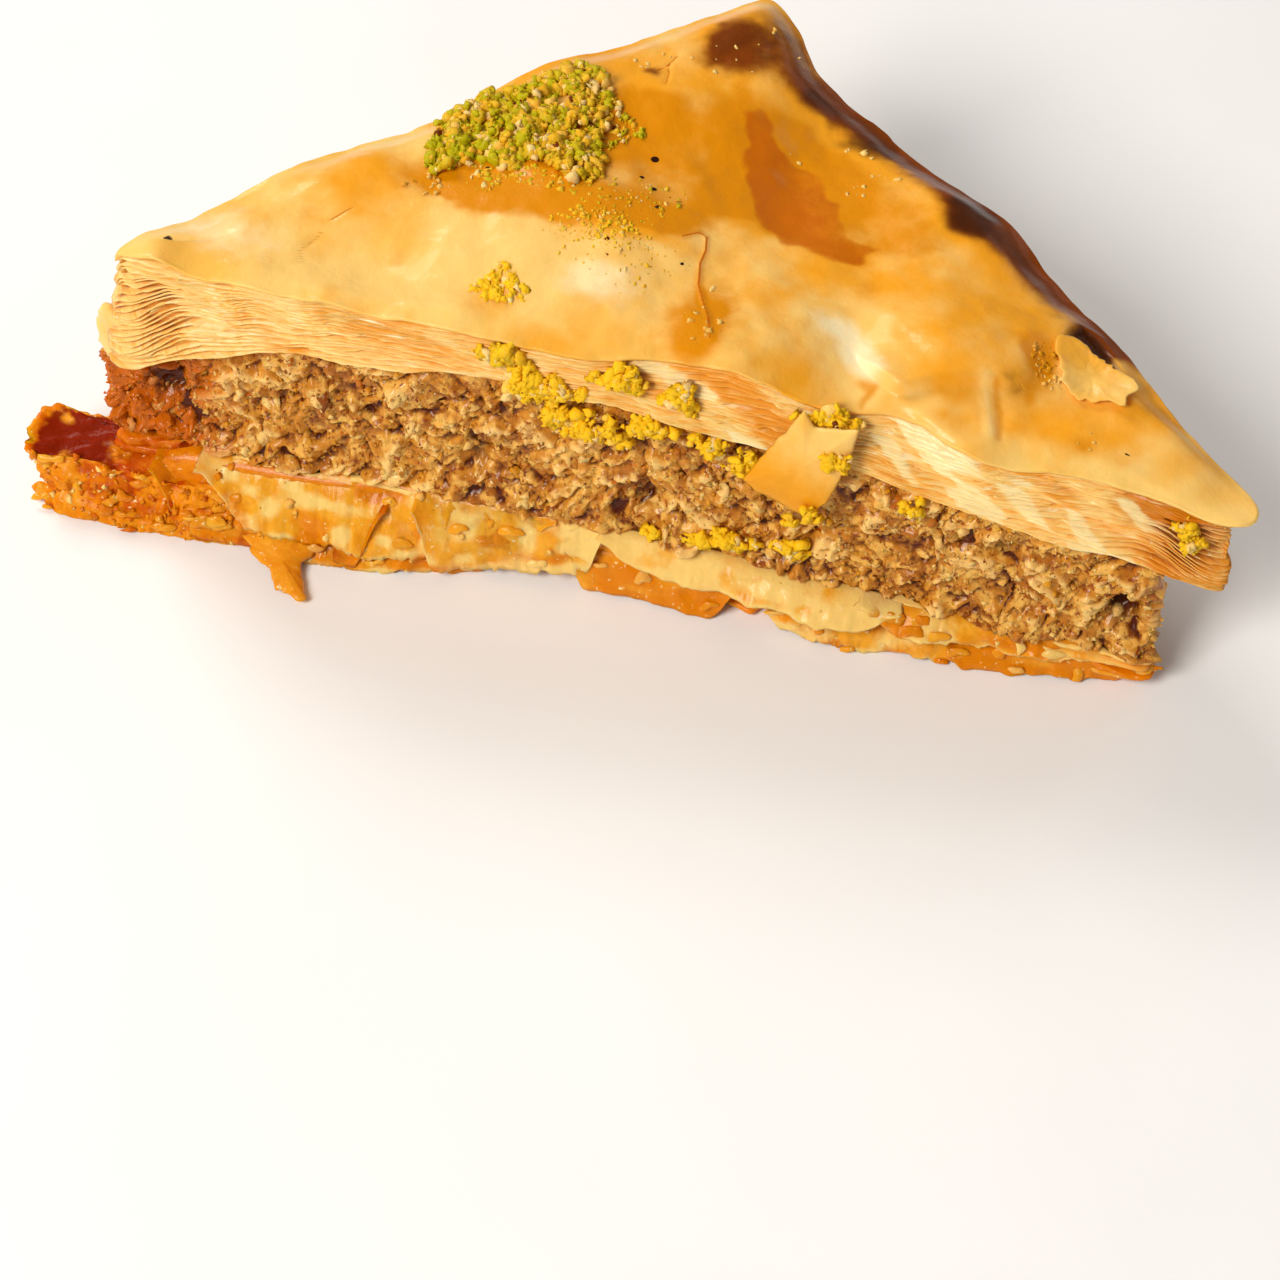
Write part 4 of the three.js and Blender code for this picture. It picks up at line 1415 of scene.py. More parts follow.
            # Lumps low among the crags are less pale and browner, and deep darkens those in hollows: painted
            # shade.
            fields = {
                "pale": np.where(kind < 0.6, share, 0.0) * ease(crags, -0.5, 0.2),
                "golden": np.where((kind > 0.6) & (kind < 0.72), share, 0.0),
                "brown": np.where(kind > 0.92, share, 0.0) + 0.5 * ease(-crags, 0.05, 0.5),
                "syrup": self.tone(part.x) * rng.uniform(0.4, 1.0, count) + syrupy,
                "deep": 0.45 * deep,
            }
            surface = Surface()
            kept = {label: values[keep] for label, values in fields.items()}
            add_lumps(surface, centres[keep], radius[keep], rng, 0.38, **kept)
            thing = surface.build(name, material, self.to_frame)
            pieces.append(self.dress(thing, "ground_nuts", "nut_filling"))
        return pieces


class Rim(Enum):
    """Which outline a soaked sheet follows."""

    CRUST = 0
    MIDDLE = 1


@dataclass(frozen=True)
class Skirt:
    """A torn sheet that hangs over the base's front.

    It runs from left to right along X; high and low are its top and lower edge as shares of the base's height,
    bulge how far out it hangs as a share of the base's front, and torn how ragged its lower edge is.
    """

    left: float
    right: float
    high: float
    low: float
    bulge: float
    torn: float
    cream: float
    amber: float
    rust: float = 0.0


@dataclass(frozen=True)
class Tear:
    """A place on the front where the sheets are torn: centre and reach along X and Z, and what shows there; its
    deep pushes the opening back and darkens it as painted shade.
    """

    x: float
    z: float
    rx: float
    rz: float
    cream: float
    amber: float
    rust: float
    deep: float = 0.0


@dataclass
class SoakedBase(Baklava):
    """The soaked base: ragged wet sheets, the caramelised corner that sticks out, torn sheets at the front."""

    ragged: Noise = field(default_factory=lambda: Noise(41))
    middle_ends: Row = (-53.2, 44.4, -0.5, 47.4)
    crust: tuple[Corner, ...] = (
        Corner(-56.6, -3.9, 3.2), Corner(-30, -3.0, 6), Corner(-18, -0.6, 5), Corner(3, -0.4, 5),
        Corner(14, -1.5, 6), Corner(30, -0.2, 8), Corner(43.2, 1.4, 2.4), Corner(-2.3, 47.6, 2.2),
        Corner(-50.5, 2.6, 3), Corner(-56.4, 3.0, 2),
    )
    # The caramelised corner that sticks out.
    block_corners: tuple[Corner, ...] = (
        Corner(-57.6, -4.6, 3.2), Corner(-38.0, -4.5, 5.0), Corner(-31.0, -1.0, 3.0), Corner(-35.0, 5.0, 3.0),
        Corner(-50.5, 3.2, 3.0), Corner(-57.6, 3.0, 2.0),
    )
    # The lower front along the piece: x and y.
    front_line: Rows = (
        (-57, -4.4), (-27, -4.3), (-16, -1.7), (-11, -1.1), (3, -1.3), (14, -2.0), (24, -1.4), (32, -0.7),
        (40, 0.0), (45, 0.8),
    )
    # Rim of the flake that hangs down at the front: x, y and z.
    hanging_rim: Rows = (
        (-38.4, -3.9, 1.3), (-37.1, -5.2, 0.9), (-35.6, -6.5, 0.7), (-33.9, -8.0, 0.6), (-32.4, -9.1, 0.5),
        (-31.3, -9.6, 0.5), (-30.6, -9.0, 0.5), (-31.3, -7.9, 0.5), (-32.3, -6.4, 0.6), (-32.4, -5.2, 0.8),
        (-31.3, -3.8, 1.4), (-33.4, -3.2, 2.2), (-36.6, -3.3, 2.2),
    )
    # Sheets from below: middle and thickness as shares of the base's height, outline, cream, amber, step in.
    plan: tuple[tuple[float, float, Rim, float, float, float], ...] = (
        (0.06, 0.11, Rim.CRUST, 0.1, 0.8, 0.1),
        (0.18, 0.11, Rim.CRUST, 0.5, 0.4, 0.4),
        (0.31, 0.12, Rim.MIDDLE, 0.3, 0.6, 0.3),
        (0.45, 0.14, Rim.MIDDLE, 0.0, 0.9, 0.1),
        (0.60, 0.15, Rim.MIDDLE, 0.3, 0.3, 0.4),
        (0.75, 0.13, Rim.MIDDLE, 0.7, 0.2, 0.2),
        (0.90, 0.15, Rim.MIDDLE, 1.0, -0.1, 0.3),
    )
    skirts: tuple[Skirt, ...] = (
        Skirt(-47.0, -25.0, 0.86, 0.02, 0.98, 0.7, -0.3, 0.9, 0.75),
        Skirt(-38.0, -14.0, 0.62, 0.03, 1.04, 0.9, 0.1, 0.7, 0.15),
        Skirt(-42.5, -10.0, 1.0, 0.24, 0.96, 1.3, 0.4, 0.2),
        Skirt(-22.5, -5.5, 1.0, 0.16, 1.25, 1.1, 0.75, 0.1),
        Skirt(-9.5, 6.5, 0.6, 0.04, 1.4, 0.3, -0.4, 1.0, 0.3),
        Skirt(-6.0, 21.0, 1.0, 0.62, 1.6, 0.4, 1.0, 0.0),
        Skirt(7.5, 29.0, 0.64, 0.05, 1.2, 1.0, 0.4, 0.45),
        Skirt(24.0, 43.5, 0.66, 0.02, 1.6, 0.6, -0.3, 1.0, 0.2),
        Skirt(17.0, 43.2, 1.0, 0.6, 1.5, 0.9, 0.6, 0.4),
    )
    tears: tuple[Tear, ...] = (
        Tear(-26.4, 6.8, 2.2, 1.0, -2.2, 1.6, 0.3, 0.5),
        Tear(-31.8, 2.6, 1.8, 1.3, -1.6, 1.3, 0.4, 0.15),
        Tear(-29.2, 3.3, 1.0, 0.9, 1.2, -0.6, -0.5),
        Tear(-22.0, 1.2, 2.4, 0.7, -0.5, 1.0, 0.4),
        Tear(-33.8, 5.0, 2.6, 1.4, 0.4, -0.3, -0.4),
        Tear(-9.4, 3.0, 1.6, 0.8, -0.3, 0.8, 0.25, 0.15),
        Tear(-17.0, 4.2, 4.0, 0.7, -0.2, 0.55, 0.0),
        Tear(13.5, 1.4, 2.6, 0.8, -0.2, 0.6, 0.1),
        Tear(30.5, 3.3, 3.0, 0.6, -0.5, 0.7, 0.1),
        Tear(41.6, 3.0, 2.2, 1.6, -0.9, 1.0, 0.25),
    )

    def front(self, x: Array) -> Array:
        """Y of the base's lower front along the piece."""
        return np.interp(x, *zip(*self.front_line))

    def sheet(self, surface: Surface, number: int) -> None:
        """Adds one sheet: a closed band whose edge is frayed, torn in places, and hangs a little.

        Args:
            surface: what it is added to.
            number: its number in the plan, counted from below.
        """
        form, n = self.form, self.ragged
        share, thick_share, rim, pale, gold, step = self.plan[number]
        crust = rim is Rim.CRUST
        o = outline(self.crust if crust else form.triangle(*self.middle_ends), 0.22, 0.45)
        here = 5.3 * number
        frayed = 0.4 * n(o.s / 4.5, here) + 0.2 * n(o.s / 1.5, here + 3) + 0.08 * n(o.s / 0.5, here + 8)
        torn = -0.9 * ease(n(o.s / 3.4, here + 17), 0.4, 0.6)
        out = form.edge_swell(o) + frayed + torn - 0.15 - step
        turn = np.linspace(-0.5, 0.5, 7) * np.pi
        insets = np.concatenate([[5.0, 2.4, 1.2], 0.2 * (1 - np.cos(turn)), [1.2, 2.4, 5.0]])[:, None]
        sides = np.concatenate([[-1, -1, -1], np.sin(turn), [1, 1, 1]])[:, None]
        reach = np.exp(-insets / 2.0)
        x, y = form.placed(o, insets, mix(form.edge_swell(o) - 0.4, out, reach))
        thick = thick_share * form.base_top(x) * (1 + 0.25 * n(o.s / 3.0, here + 70))
        sway = 0.18 * n(o.s / 3.0, here + 30) * reach - 0.2 * np.clip(frayed, 0, None) * np.exp(-insets / 0.5)
        z = form.base_top(x) * share + sway + sides * thick / 2 + 0.05 * n(x / 0.8, y / 0.8)
        z = np.clip(z, 0.03 + 0.02 * number, form.base_top(x) - 0.1)
        x, y, z = np.broadcast_arrays(x, y, z)
        corner = ease(-x, 36.0, 50.0) if crust else ease(-x, 40.0, 46.0)
        fields = {
            "cream": pale + 0.5 * n(o.s / 2.4, here + 60) - 1.6 * corner,
            "amber": gold + 0.5 * n(o.s / 3.2, here + 80) + 0.7 * corner + 0.5 * ease(x, 24, 40) * crust,
            "rust": 0.75 * corner + 0.3 * n(o.s / 1.6, here + 44) * corner,
            "caramel": 0.15 * ease(-x, 44.0, 56.0) * corner,
            # Deep darkens the sheet further in as painted shade between the sheets.
            "deep": 0.7 * ease(insets, 0.6, 2.4) * (1 - corner),
        }
        surface.add_rings(np.stack([x, y, z], axis=-1), closed=True, **fields)

    def build(self) -> list[Thing]:
        """Builds the sheets, the core, the corner, the torn sheets over the front, and the crumbs on them.

        Returns:
            The pieces.
        """
        material = SOAKED_FILO.material()
        surface = Surface()
        for number in range(len(self.plan)):
            self.sheet(surface, number)
        pieces = [surface.build("soaked_sheets", material, self.to_frame)]
        pieces += [self.core(material), self.block(), self.hanging(material)]
        pieces += [self.shreds(material), self.crumbs(material)]
        return [self.dress(thing, "soaked_filo", "filo_base") for thing in pieces]

    def core(self, material: Material) -> Thing:
        """The pressed sheets behind the edges: a body a little inside them with a flat underside.

        Args:
            material: the sheets' finish.

        Returns:
            The piece.
        """
        form = self.form
        o = outline(self.crust, 0.8, 1.2)
        insets = np.array([8.0, 1.6, 1.2, 1.2, 2.2, 3.0, 8.0])[:, None]
        shares = np.array([0, 0, 0.1, 0.3, 0.9, 0.95, 0.95])[:, None]
        x, y = form.placed(o, insets, form.edge_swell(o))
        shares = mix(shares, np.minimum(shares, 0.6), ease(-x, 44.0, 50.0))
        surface = Surface()
        rings = np.stack([x, y, np.maximum(form.base_top(x) * shares, 0.0)], axis=-1)
        # Deep darkens the core as painted shade behind the sheets.
        surface.add_rings(rings, cream=0.0, amber=0.8, rust=ease(-x, 38, 54), deep=0.3)
        return surface.build("base_core", material, self.to_frame)

    def corner_side(self) -> tuple[Outline, Array, Array]:
        """Side of the corner that sticks out: it leans back, pushed in and out by lumps and sheets' edges.

        Returns:
            Its outline, its places from the bottom up, and how far each is pushed out.
        """
        form, n = self.form, self.ragged
        o = outline(self.block_corners, 0.17, 0.2)
        level = np.linspace(0.0, 1.0, 38)[:, None]
        back = ease(o.y, -2.0, 2.0)
        tall = form.base_top(o.x) * (0.64 + 0.13 * back) + 0.3 * n(o.s / 1.8, 3)
        tall = tall + 1.3 * bell((o.x + 58.8) / 1.5) * bell((o.y + 1.2) / 2.0)
        tall = tall - 1.4 * ease(o.x, -41.0, -34.0)
        rise = level * tall
        push = 0.5 * np.abs(n(o.s / 2.0, rise / 1.7)) + 0.46 * np.abs(n(o.s / 0.9 + 20, rise / 0.8))
        push = push + 0.2 * np.abs(n(o.s / 0.45 + 50, rise / 0.4)) + 0.3 * n(o.s / 6.0, rise / 0.6 + 8) - 0.36
        push = push * ease(level, -0.1, 0.12)
        x = o.x + o.nx * push + 0.5 * level - 1.9 * level**2 * bell((o.x + 58.0) / 3.0)
        y = o.y + o.ny * push + 2.3 * level * np.clip(-o.ny, 0, 1)
        return o, np.stack([x, y, np.maximum(rise, 0.02)], axis=-1), push

    def block(self) -> Thing:
        """The caramelised corner that sticks out: its crusty side, and a blistered face sunk behind the rim.

        Returns:
            The piece.
        """
        n = self.ragged
        o, side, push = self.corner_side()
        share = np.linspace(0.97, 0.03, 30)[:, None]
        middle = np.array([-46.0, 0.8])
        fx = middle[0] + (side[-1, :, 0] - middle[0]) * share
        fy = middle[1] + (side[-1, :, 1] - middle[1]) * share
        blisters = 0.24 * n.fractal((fx + fy) / 2.6, (fy - fx) / 1.2) + 0.06 * n(fx / 0.6, fy / 0.6)
        plane = self.form.base_top(fx) * 0.66 + 0.28 * fy - 0.1
        fz = mix(plane, side[-1, :, 2], share**7) + blisters * ease(1 - share, 0, 0.2)
        face = np.stack([fx, fy, fz], axis=-1)
        rings = np.concatenate([side, face])
        rx, rz = rings[..., 0], rings[..., 2]
        inner = np.concatenate([0 * push, ease(1 - share, 0.0, 0.14) * np.ones(o.s.shape)])
        patch = n.fractal(rx / 1.8, rings[..., 1] / 1.8, rz / 1.8)
        fine = n(rx / 0.7, rings[..., 1] / 0.7, rz / 0.7)
        # Rust and caramel added where the side is pushed in are painted shade in its hollows.
        hollow = np.concatenate([ease(-push, -0.05, 0.3), 0 * face[..., 0]])
        fields = {
            "cream": (1.1 * ease(patch + 0.5 * fine, 0.55, 1.0)) * (1 - inner) - 0.6 * inner,
            "amber": 0.75 + 0.3 * patch,
            "rust": ease(-rx, 32.0, 42.0) * (0.22 + 0.6 * patch + 0.3 * inner) + 0.4 * hollow,
            "caramel": inner * ease(-rx, 48.5, 54.0) * (1.1 + 0.8 * patch) + 0.25 * hollow,
            "deep": 0.2 * inner * ease(patch, 0.2, 0.6),
        }
        surface = Surface()
        surface.add_rings(rings, **fields)
        return surface.build("caramel_corner", CARAMELISED_FILO.material(), self.to_frame)

    def skirt(self, number: int) -> tuple[Array, dict[str, Array]]:
        """One torn sheet: cross-sections along X, each going out and down the front and back up inside.

        Args:
            number: its number among the skirts.

        Returns:
            Its cross-sections, and the attributes of their points.
        """
        form, n, s = self.form, self.ragged, self.skirts[number]
        u = np.linspace(0.0, 1.0, int((s.right - s.left) / 0.19))[:, None]
        down = np.concatenate([np.linspace(0.0, 1.0, 17), np.linspace(1.0, 0.0, 11)])[None, :]
        inside = np.repeat([0.0, 1.0], [17, 11])[None, :]
        x = s.left + (s.right - s.left) * u + 0.4 * n(u * (s.right - s.left) / 3.0, down * 2 + number)
        base = form.base_top(x)
        ends = ease(u, 0.0, 0.14) * ease(1 - u, 0.0, 0.14)
        frayed = 0.6 * n(x / 3.4, 7 * number) + 0.5 * n(x / 1.3, 7 * number + 3)
        frayed = s.torn * (frayed + 0.4 * n(x / 0.45, number))
        top = s.high * base - 0.1
        edge = mix(top - 0.4, np.clip(s.low * base + 0.6 * frayed, 0.06, None), ends)
        z = top - (top - edge) * down**1.1
        ripple = 0.34 * n(x / 2.6, down * 1.8 + 11 * number) + 0.2 * n(x / 1.0, z / 0.7 + 5 * number)
        crumbly = (0.2 * np.abs(n(x / 0.55, z / 0.45 + 3 * number)) - 0.06) * ease(s.torn, 0.5, 1.0)
        lean = mix(0.35, 1.0, ease(-x, 14.0, 24.0))
        reach = s.bulge * self.front(x) * (0.6 + 0.4 * ends)
        y = 0.4 + (reach - 0.4) * down ** mix(0.4, 0.8, lean)
        y = y + ripple * down - crumbly * (1 - inside) + 0.3 * inside
        fields = {
            "cream": s.cream + 0.7 * n(x / 1.8, z / 1.1 + number) + 0.45 * ease(down, 0.82, 1.0),
            "amber": s.amber + 0.6 * n(x / 2.6, z / 1.4 + 9 + number),
            "rust": s.rust * (0.6 + 0.6 * n(x / 1.6, z / 1.0 + 30)),
            "caramel": 0.0,
            "deep": 0.0,
        }
        # A tear's deep pushes it back and darkens it as painted shade.
        for tear in self.tears:
            here = bell(np.hypot((x - tear.x) / tear.rx, (z - tear.z) / tear.rz))
            for name in ("cream", "amber", "rust", "deep"):
                fields[name] = fields[name] + getattr(tear, name) * here
            y = y + 0.5 * here * (tear.deep > 0)
        return np.stack(np.broadcast_arrays(x, y, z), axis=-1), fields

    def hanging(self, material: Material) -> Thing:
        """All the torn sheets over the front, and the flake that hangs down from them.

        Args:
            material: the sheets' finish.

        Returns:
            The piece.
        """
        surface = Surface()
        for number in range(len(self.skirts)):
            rings, fields = self.skirt(number)
            surface.add_rings(rings, **fields)
        tone = {"cream": 0.1, "amber": 0.5, "rust": 0.0, "caramel": 0.0, "deep": 0.0}
        add_plate(surface, np.array(self.hanging_rim), 0.35, 0.3, self.ragged, 0.45, **tone)
        return surface.build("torn_base_sheets", material, self.to_frame)

    def places(self, rng: np.random.Generator, count: int, above: float) -> Array:
        """Random places on the front of the torn sheets and of the corner.

        Args:
            rng: the seeded generator.
            count: how many.
            above: least height, as a share of a sheet's points from the top, that is taken.

        Returns:
            The places.
        """
        skirts = [self.skirt(number)[0] for number in range(len(self.skirts))]
        fronts = [points[:, int(16 * above) : 17].reshape(-1, 3) for points in skirts]
        o, side, _ = self.corner_side()
        fronts += [side[:, (o.ny < -0.2) & (o.x < -38)].reshape(-1, 3)] * 3
        every = np.concatenate(fronts)
        return every[rng.choice(len(every), count)]

    def shreds(self, material: Material) -> Thing:
        """Ragged little scraps of leaf that stand off the torn sheets.

        Args:
            material: the sheets' finish.

        Returns:
            The piece.
        """
        rng = np.random.default_rng(17)
        surface = Surface()
        for place in self.places(rng, 64, 0.3):
            wide, tall = rng.uniform(0.8, 2.6), rng.uniform(0.6, 1.6)
            angles = np.sort(rng.uniform(0, 2 * np.pi, 8))
            u, w = wide / 2 * np.cos(angles), tall / 2 * np.sin(angles)
            z = np.clip(place[2] + w, 0.15, float(self.form.base_top(place[0])) - 0.2)
            rim = np.stack([place[0] + u, place[1] - 0.15 + 0.5 * w + 0.15 * u, z], axis=-1)
            left = place[0] < -37
            tone = {"cream": -0.4 if left else rng.uniform(-0.2, 1.0), "amber": rng.uniform(0.0, 0.9)}
            tone |= {"rust": 0.6 * left * rng.uniform(0, 1), "caramel": 0.0, "deep": 0.0}
            add_plate(surface, rim, rng.uniform(0.14, 0.24), 0.2, self.ragged, 0.2, **tone)
        return surface.build("torn_base_bits", material, self.to_frame)

    def crumbs(self, material: Material) -> Thing:
        """Crumbs of crust where sheets are torn and on the corner, pale and caramelised ones among them.

        Args:
            material: the sheets' finish.

        Returns:
            The piece.
        """
        rng = np.random.default_rng(23)
        count = 1100
        places = self.places(rng, count, 0.15)
        radii = 0.08 + 0.36 * rng.uniform(0, 1, count) ** 2.2
        torn = sum(bell(np.hypot((places[:, 0] - t.x) / t.rx, (places[:, 2] - t.z) / t.rz)) for t in self.tears)
        wanted = 0.05 + 0.5 * torn + 0.4 * ease(-places[:, 0], 30, 38)
        keep = rng.uniform(0, 1, count) < wanted
        places, radii, count = places[keep], radii[keep], int(keep.sum())
        places[:, 1] += 0.15 * radii
        places[:, 2] = np.maximum(places[:, 2], radii * 0.9)
        left = ease(-places[:, 0], 34, 42)
        kind = rng.uniform(0, 1, count)
        tone = {
            "cream": np.where(kind < 0.12, 0.9, mix(0.6, -0.4, left)),
            "amber": np.where(kind < 0.12, 0.1, mix(0.3, 0.85, left)),
            "rust": np.where(kind > 0.6, 0.6, 0.1) * left,
            "caramel": np.where(kind > 0.93, 0.4, 0.0) * left,
            "deep": np.zeros(count),
        }
        surface = Surface()
        add_lumps(surface, places, radii, rng, 0.3, **tone)
        return surface.build("base_crumbs", material, self.to_frame)


def add_plate(
    surface: Surface,
    rim: Array,
    thickness: float,
    bow: float,
    noise: Noise,
    fray: float = 0.1,
    **fields: float | Callable[[Array], Array],
) -> None:
    """Adds a thin curved bit of leaf: a frayed rim in space, rings that shrink to its middle, a rounded edge.

    A point of a ring lies at middle + share * (rim - middle), raised along the plate's normal by
    bow * (1 - share^2) and by fine noise; the two faces are half the thickness above and below.

    Args:
        surface: what it is added to.
        rim: corners of the rim in space, in order.
        thickness: how thick it is.
        bow: how far its middle stands out.
        noise: the noise that frays and dimples it.
        fray: how far its rim is frayed.
        fields: attributes, each one value for the whole plate or a function of its points.
    """
    closed = np.concatenate([rim, rim[:1]])
    run = np.concatenate([[0.0], np.cumsum(np.linalg.norm(np.diff(closed, axis=0), axis=1))])
    count = max(20, int(run[-1] / 0.28))
    s = np.linspace(0.0, run[-1], count, endpoint=False)
    line = np.stack([np.interp(s, run, closed[:, k]) for k in range(3)], axis=1)
    middle = line.mean(axis=0)
    after = np.roll(line, -1, axis=0)
    normal = np.cross(line - middle, after - middle).sum(axis=0)
    normal /= np.linalg.norm(normal)
    away = line - middle
    away /= np.linalg.norm(away, axis=1)[:, None]
    line = line + away * (fray * noise.fractal(s / 0.9, run[-1], octaves=2))[:, None]
    shares = np.array([0.15, 0.5, 0.8, 0.95, 1.0, 0.95, 0.8, 0.5, 0.15])[:, None, None]
    sides = np.array([-1, -1, -1, -0.8, 0, 0.8, 1, 1, 1])[:, None, None] * thickness / 2
    rings = middle + (line - middle) * shares
    dimple = 0.12 * noise(rings[..., 0] / 1.1, rings[..., 1] / 1.1, rings[..., 2] / 1.1)[..., None]
    rings = rings + normal * (bow * (1 - shares**2) + dimple + sides)
    surface.add_rings(rings, **{name: tone(rings) if callable(tone) else tone for name, tone in fields.items()})


@dataclass
class LooseBits(Baklava):
    """Bits of leaf that came loose: the flake on the cut face, the torn flap, the left chunk, and crumbs."""

    top: GlazedTop = field(default_factory=GlazedTop)
    noise: Noise = field(default_factory=lambda: Noise(63))
    # Rim of the loose flake: x, y and z.
    flake: Rows = (
        (6.5, -1.4, 18.9), (8.6, -1.3, 22.6), (11.2, -1.3, 27.5), (12.2, -1.6, 26.2), (13.6, -1.9, 26.4),
        (15.9, -2.7, 27.1), (15.2, -2.6, 22.6), (13.9, -2.0, 18.6), (12.0, -1.7, 16.3), (9.4, -1.5, 17.4),
        (7.6, -1.5, 18.0),
    )
    # Rim of the flap: x, y and height above the top leaf.
    flap: Rows = (
        (30.2, 13.4, 0.6), (29.9, 11.6, 0.3), (30.7, 9.4, 0.25), (31.9, 8.2, 0.3), (34.0, 7.6, 0.5),
        (36.0, 7.7, 0.9), (37.2, 9.2, 1.1), (36.6, 10.2, 0.9), (34.6, 11.7, 0.8), (32.4, 13.0, 0.8),
    )
    # Rim of the pale chunk at the left end of the stack: x, y and z.
    chunk: Rows = (
        (-51.3, 1.4, 18.0), (-51.1, 1.7, 20.8), (-50.1, 0.9, 23.4), (-47.9, -0.3, 23.2), (-48.1, -0.6, 19.6),
        (-49.9, 0.1, 17.4),
    )
    # Crumbs of leaf on the top leaf: x, y, reach along each, how many, and how amber.
    dust: Rows = (
        (-1.5, 38.0, 4.0, 4.0, 9, 0.3), (-8.0, 33.5, 4.0, 2.0, 5, 0.2), (-10.5, 33.3, 0.4, 0.4, 4, 0.0),
        (4.4, 28.2, 1.2, 0.9, 3, 0.3), (10.4, 25.4, 1.4, 1.2, 7, 0.2), (9.5, 30.4, 2.0, 0.8, 4, 0.3),
        (13.0, 28.2, 2.5, 1.0, 5, 0.3), (29.2, 11.0, 1.1, 2.2, 44, 1.3), (30.6, 8.8, 1.4, 0.8, 18, 0.5),
        (34.0, 4.0, 0.9, 1.6, 5, 0.5), (1.2, 5.6, 1.7, 2.8, 14, 0.6), (-25.0, 14.5, 2.0, 1.2, 24, 0.9),
    )

    def crumbs(self) -> Surface:
        """Crumbs of leaf on the top leaf, each sunk a little into the syrup.

        Returns:
            Their surface.
        """
        rng = np.random.default_rng(71)
        surface = Surface()
        for x, y, rx, ry, count, amber in self.dust:
            angle = rng.uniform(0, 2 * np.pi, int(count))
            spread = np.sqrt(rng.uniform(0, 1, int(count)))
            px, py = x + rx * spread * np.cos(angle), y + ry * spread * np.sin(angle)
            size = 0.08 + 0.26 * rng.uniform(0, 1, int(count)) ** 1.7
            centres = np.stack([px, py, self.top.height(px, py) - 0.4 * size], axis=-1)
            amber = amber * rng.uniform(0.3, 1.0, int(count))
            add_lumps(surface, centres, size, rng, 0.36, honey=0 * size + 0.2, amber=amber, pale=0.45 - amber)
        return surface

    def wet(self, points: Array) -> Array:
        """How far syrup ran down the flake: 0 at its upper edge, 1 at its lowest corner."""
        return ease(-points[..., 2] - 0.35 * points[..., 0], -30.0, -21.0)

    def build(self) -> list[Thing]:
        """Builds the bits, and the crumbs of leaf.

        Returns:
            The pieces.
        """
        material = GLAZED_FILO.material()
        loose, torn = Surface(), Surface()
        rim = np.array(self.flake)
        rim[:, 1] += self.form.setback(Outline.straight(rim[:, 0])) * ease(rim[:, 2], 17.0, 25.0)
        gold = {"honey": lambda p: 0.3 + 0.7 * self.wet(p), "amber": lambda p: 0.45 * self.wet(p)}
        add_plate(loose, rim[::-1], 0.3, 0.35, self.noise, 0.16, **gold)
        rim = np.array(self.flap)
        rim[:, 2] += self.top.height(rim[:, 0], rim[:, 1])
        tan = {"honey": lambda p: 0.3 + 0.4 * ease(p[..., 1], 9, 12), "pale": 0.25, "toast": 0.22}
        add_plate(torn, rim[::-1], 0.26, 0.6, self.noise, 0.42, **tan)
        add_plate(torn, np.array(self.chunk), 0.9, 0.2, self.noise, 0.28, honey=0.1, pale=0.3, toast=0.0)
        plans = (
            ("loose_leaf_flake", loose, "filo_flake", "loose_flake"),
            ("torn_leaf", torn, "glazed_filo", "filo_stack"),
            ("leaf_crumbs", self.crumbs(), "glazed_filo", "filo_stack"),
        )
        pieces = []
        for name, surface, slot, node in plans:
            pieces.append(self.dress(surface.build(name, material, self.to_frame), slot, node))
        return pieces


